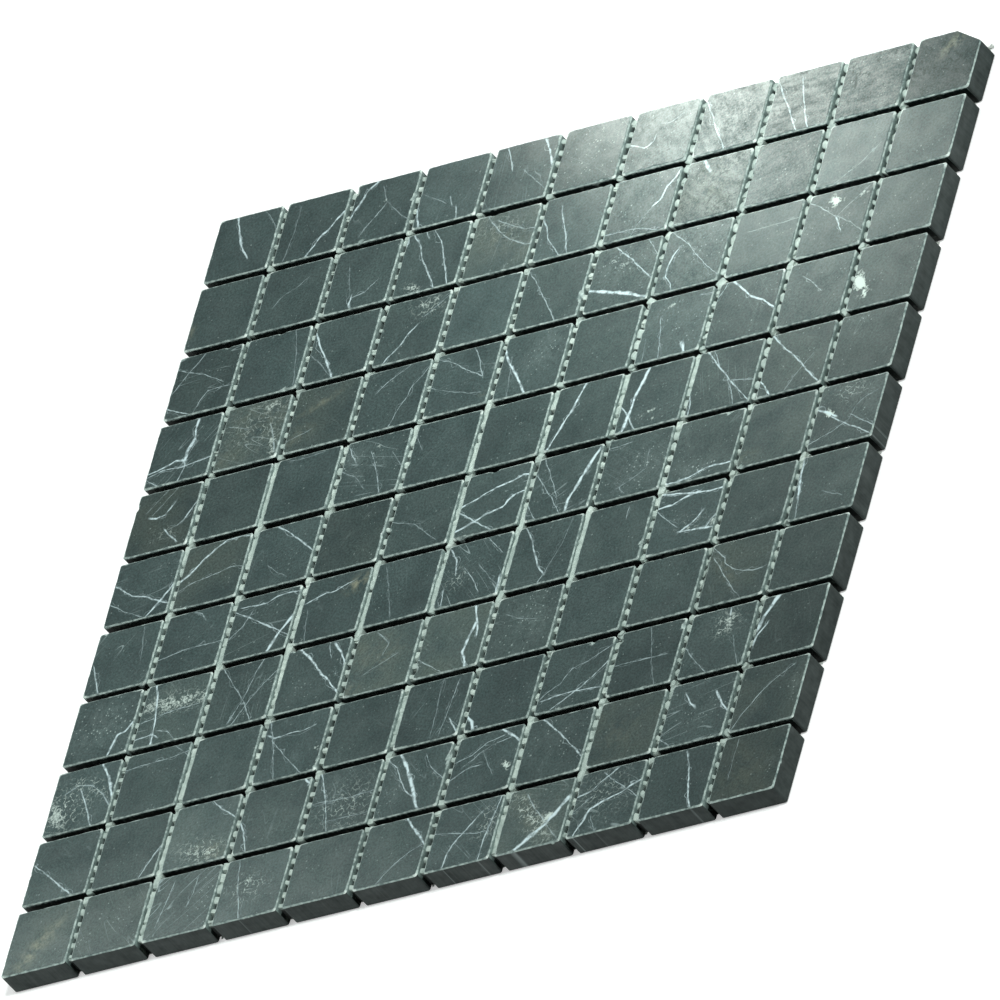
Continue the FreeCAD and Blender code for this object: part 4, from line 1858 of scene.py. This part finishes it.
def build_adhesive():
    """Dried white adhesive, yellowed and dusty in places, painted dark low down as painted shade.
    """
    material, tree, shader = new_material("dried adhesive")
    where = add(tree, "ShaderNodeTexCoord").outputs["Object"]
    patches = cloudy(tree, clouds, where, 120.0, 2.6)
    clean_unshaded = blend(tree, patches, (0.34, 0.42, 0.39), (0.55, 0.63, 0.58))
    stained = blend(tree, patches, (0.19, 0.25, 0.23), (0.44, 0.515, 0.46))
    height = add(tree, "ShaderNodeSeparateXYZ", {0: where}).outputs[2]
    colour = blend(tree, remap(tree, height, 0.0075, 0.0079), clean_unshaded, stained)
    grime = cloudy(tree, clouds, where, 650.0, 3.0)
    colour = blend(tree, calc(tree, "MULTIPLY", grime, 0.50), colour, (0.20, 0.25, 0.23))
    grit = use(tree, specks, {"Vector": where, "Scale": 900.0, "Size": 0.3, "Share": 0.15})
    colour = blend(tree, calc(tree, "MULTIPLY", grit, 0.6), colour, (0.10, 0.11, 0.09))
    # Painted shade: low down in the joints the adhesive is painted nearly black.
    colour = blend(tree, remap(tree, height, 0.0052, 0.0068), (0.010, 0.013, 0.012), colour)
    rough = calc(tree, "MULTIPLY_ADD", grime, 0.25, 0.45)
    dress(tree, shader, colour, rough, grime, 0.5, 0.1 * MM)
    return material


dried = build_adhesive()
one_dab = bpy.data.objects.new("one_dab", build_dab())
adhesive = run_nodes("adhesive", build_dab_tree(), {"Dab": one_dab, "Material": dried}, beds)
bpy.data.objects.remove(one_dab)
print("adhesive:", len(adhesive.data.polygons), "faces")

# %% [markdown]
# ## A white studio
#
# The photograph stands on plain white with only a trace of shadow. The floor is a pale
# plane. What the camera itself sees of it is lifted to white, and so is the background, but
# the stone reflects a dimmer room, or its blacks would turn grey. A key lamp stands high on
# the right, so the walls that face the front stay dark. A large soft lamp stands where the
# honed faces mirror it, and gives the sheen at the back right.

# %% Floor, room and lamps
def build_floor(size=3.0):
    """The white table top that the sheet lies on."""
    mesh = bpy.data.meshes.new("floor")
    half = size / 2
    mesh.from_pydata(
        [(-half, -half, 0), (half, -half, 0), (half, half, 0), (-half, half, 0)], [], [(0, 1, 2, 3)]
    )
    floor = bpy.data.objects.new("floor", mesh)
    bpy.context.collection.objects.link(floor)
    material, tree, shader = new_material("white table")
    shader.inputs["Base Color"].default_value = (0.8, 0.8, 0.8, 1)
    shader.inputs["Roughness"].default_value = 1.0
    shader.inputs["Specular IOR Level"].default_value = 0.0
    seen = add(tree, "ShaderNodeLightPath").outputs["Is Camera Ray"]
    tree.links.new(calc(tree, "MULTIPLY", seen, 0.40), shader.inputs["Emission Strength"])
    shader.inputs["Emission Color"].default_value = (1, 1, 1, 1)
    mesh.materials.append(material)
    return floor


def build_room():
    """White to the camera, and a dim, even room to everything else."""
    world = bpy.data.worlds.new("room")
    world.use_nodes = True
    tree = world.node_tree
    paths = add(tree, "ShaderNodeLightPath").outputs
    level = calc(tree, "MULTIPLY_ADD", paths["Is Glossy Ray"], 0.10, 0.32)
    level = calc(tree, "MAXIMUM", level, paths["Is Camera Ray"])
    tint = blend(tree, paths["Is Camera Ray"], (0.94, 1.0, 0.98), (1.0, 1.0, 1.0))
    tree.links.new(tint, tree.nodes["Background"].inputs["Color"])
    tree.links.new(level, tree.nodes["Background"].inputs["Strength"])
    bpy.context.scene.world = world


def lamp(name, kind, position, target, strength, **settings):
    """A lamp at a position, aimed at a target."""
    data = bpy.data.lights.new(name, kind)
    data.energy = strength
    for key, value in settings.items():
        setattr(data, key, value)
    made = bpy.data.objects.new(name, data)
    made.location = position
    aim = Vector(target) - Vector(position)
    made.rotation_euler = aim.to_track_quat("-Z", "Y").to_euler()
    made.visible_camera = False
    bpy.context.collection.objects.link(made)
    return made


floor = build_floor()
build_room()
NEUTRAL, WARM = (0.93, 1.0, 0.97), (0.93, 1.0, 0.92)
COOL, COLD = (0.87, 1.0, 0.95), (0.78, 1.0, 0.96)
lamp("key", "SUN", (0.5, 0.05, 0.865), (0, 0, 0), 2.2, angle=math.radians(12), color=NEUTRAL)
lamp("front left", "AREA", (-0.16, -0.14, 0.4), (-0.16, -0.14, 0), 0.32,
     shape="DISK", size=0.2, color=NEUTRAL)

# From a place on the faces, the direction of a lamp that the camera sees mirrored there.
MIRRORED = Vector((-0.579, 0.579, 0.574))
LAMP_DISTANCE = 0.22
for name, x, y, lean, long, short, strength, tint in (
    ("sheen at the back", 0.042, 0.171, 0, 0.122, 0.04, 0.295, WARM),
    ("sheen at the right", 0.056, 0.128, -60, 0.06, 0.03, 0.031, COLD),
    ("glow at the front", -0.085, -0.175, 0, 0.20, 0.04, 0.065, COOL),
):
    spot = Vector((x, y, CHIP_TOP))
    sheen = lamp(name, "AREA", spot + MIRRORED * LAMP_DISTANCE, spot, strength,
                 shape="ELLIPSE", size=long, size_y=short, color=tint)
    along = Vector((math.cos(math.radians(lean)), math.sin(math.radians(lean)), 0))
    along = (along - MIRRORED * along.dot(MIRRORED)).normalized()
    turned = Matrix((along, MIRRORED.cross(along), MIRRORED)).transposed()
    sheen.rotation_euler = turned.to_euler()
    sheen.visible_diffuse = False
fill = lamp("fill at the back", "AREA", (0.068, 0.095, 0.16), (0.040, 0.14, 0), 0.20,
            shape="DISK", size=0.10, color=NEUTRAL)
fill.visible_glossy = False
bpy.context.scene.view_settings.view_transform = "Standard"

# %% [markdown]
# ## Put every piece in its place in the imported part
#
# The sheet is one rigid body, so every piece rides on its root. Each piece replaces one
# imported node, which is hidden.

# %% Ride and replace
pieces = [(piece, "tile_row_%02d" % (i + 1), "marble") for i, piece in enumerate(rows)]
pieces += [
    (warps, "net_warp_threads", "glass_fibre"),
    (wefts, "net_weft_threads", "glass_fibre"),
    (adhesive, "glue_lines", "adhesive"),
]
for piece, node, slot in pieces:
    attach(piece, "root")
    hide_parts(node)
print(len(pieces), "pieces placed")
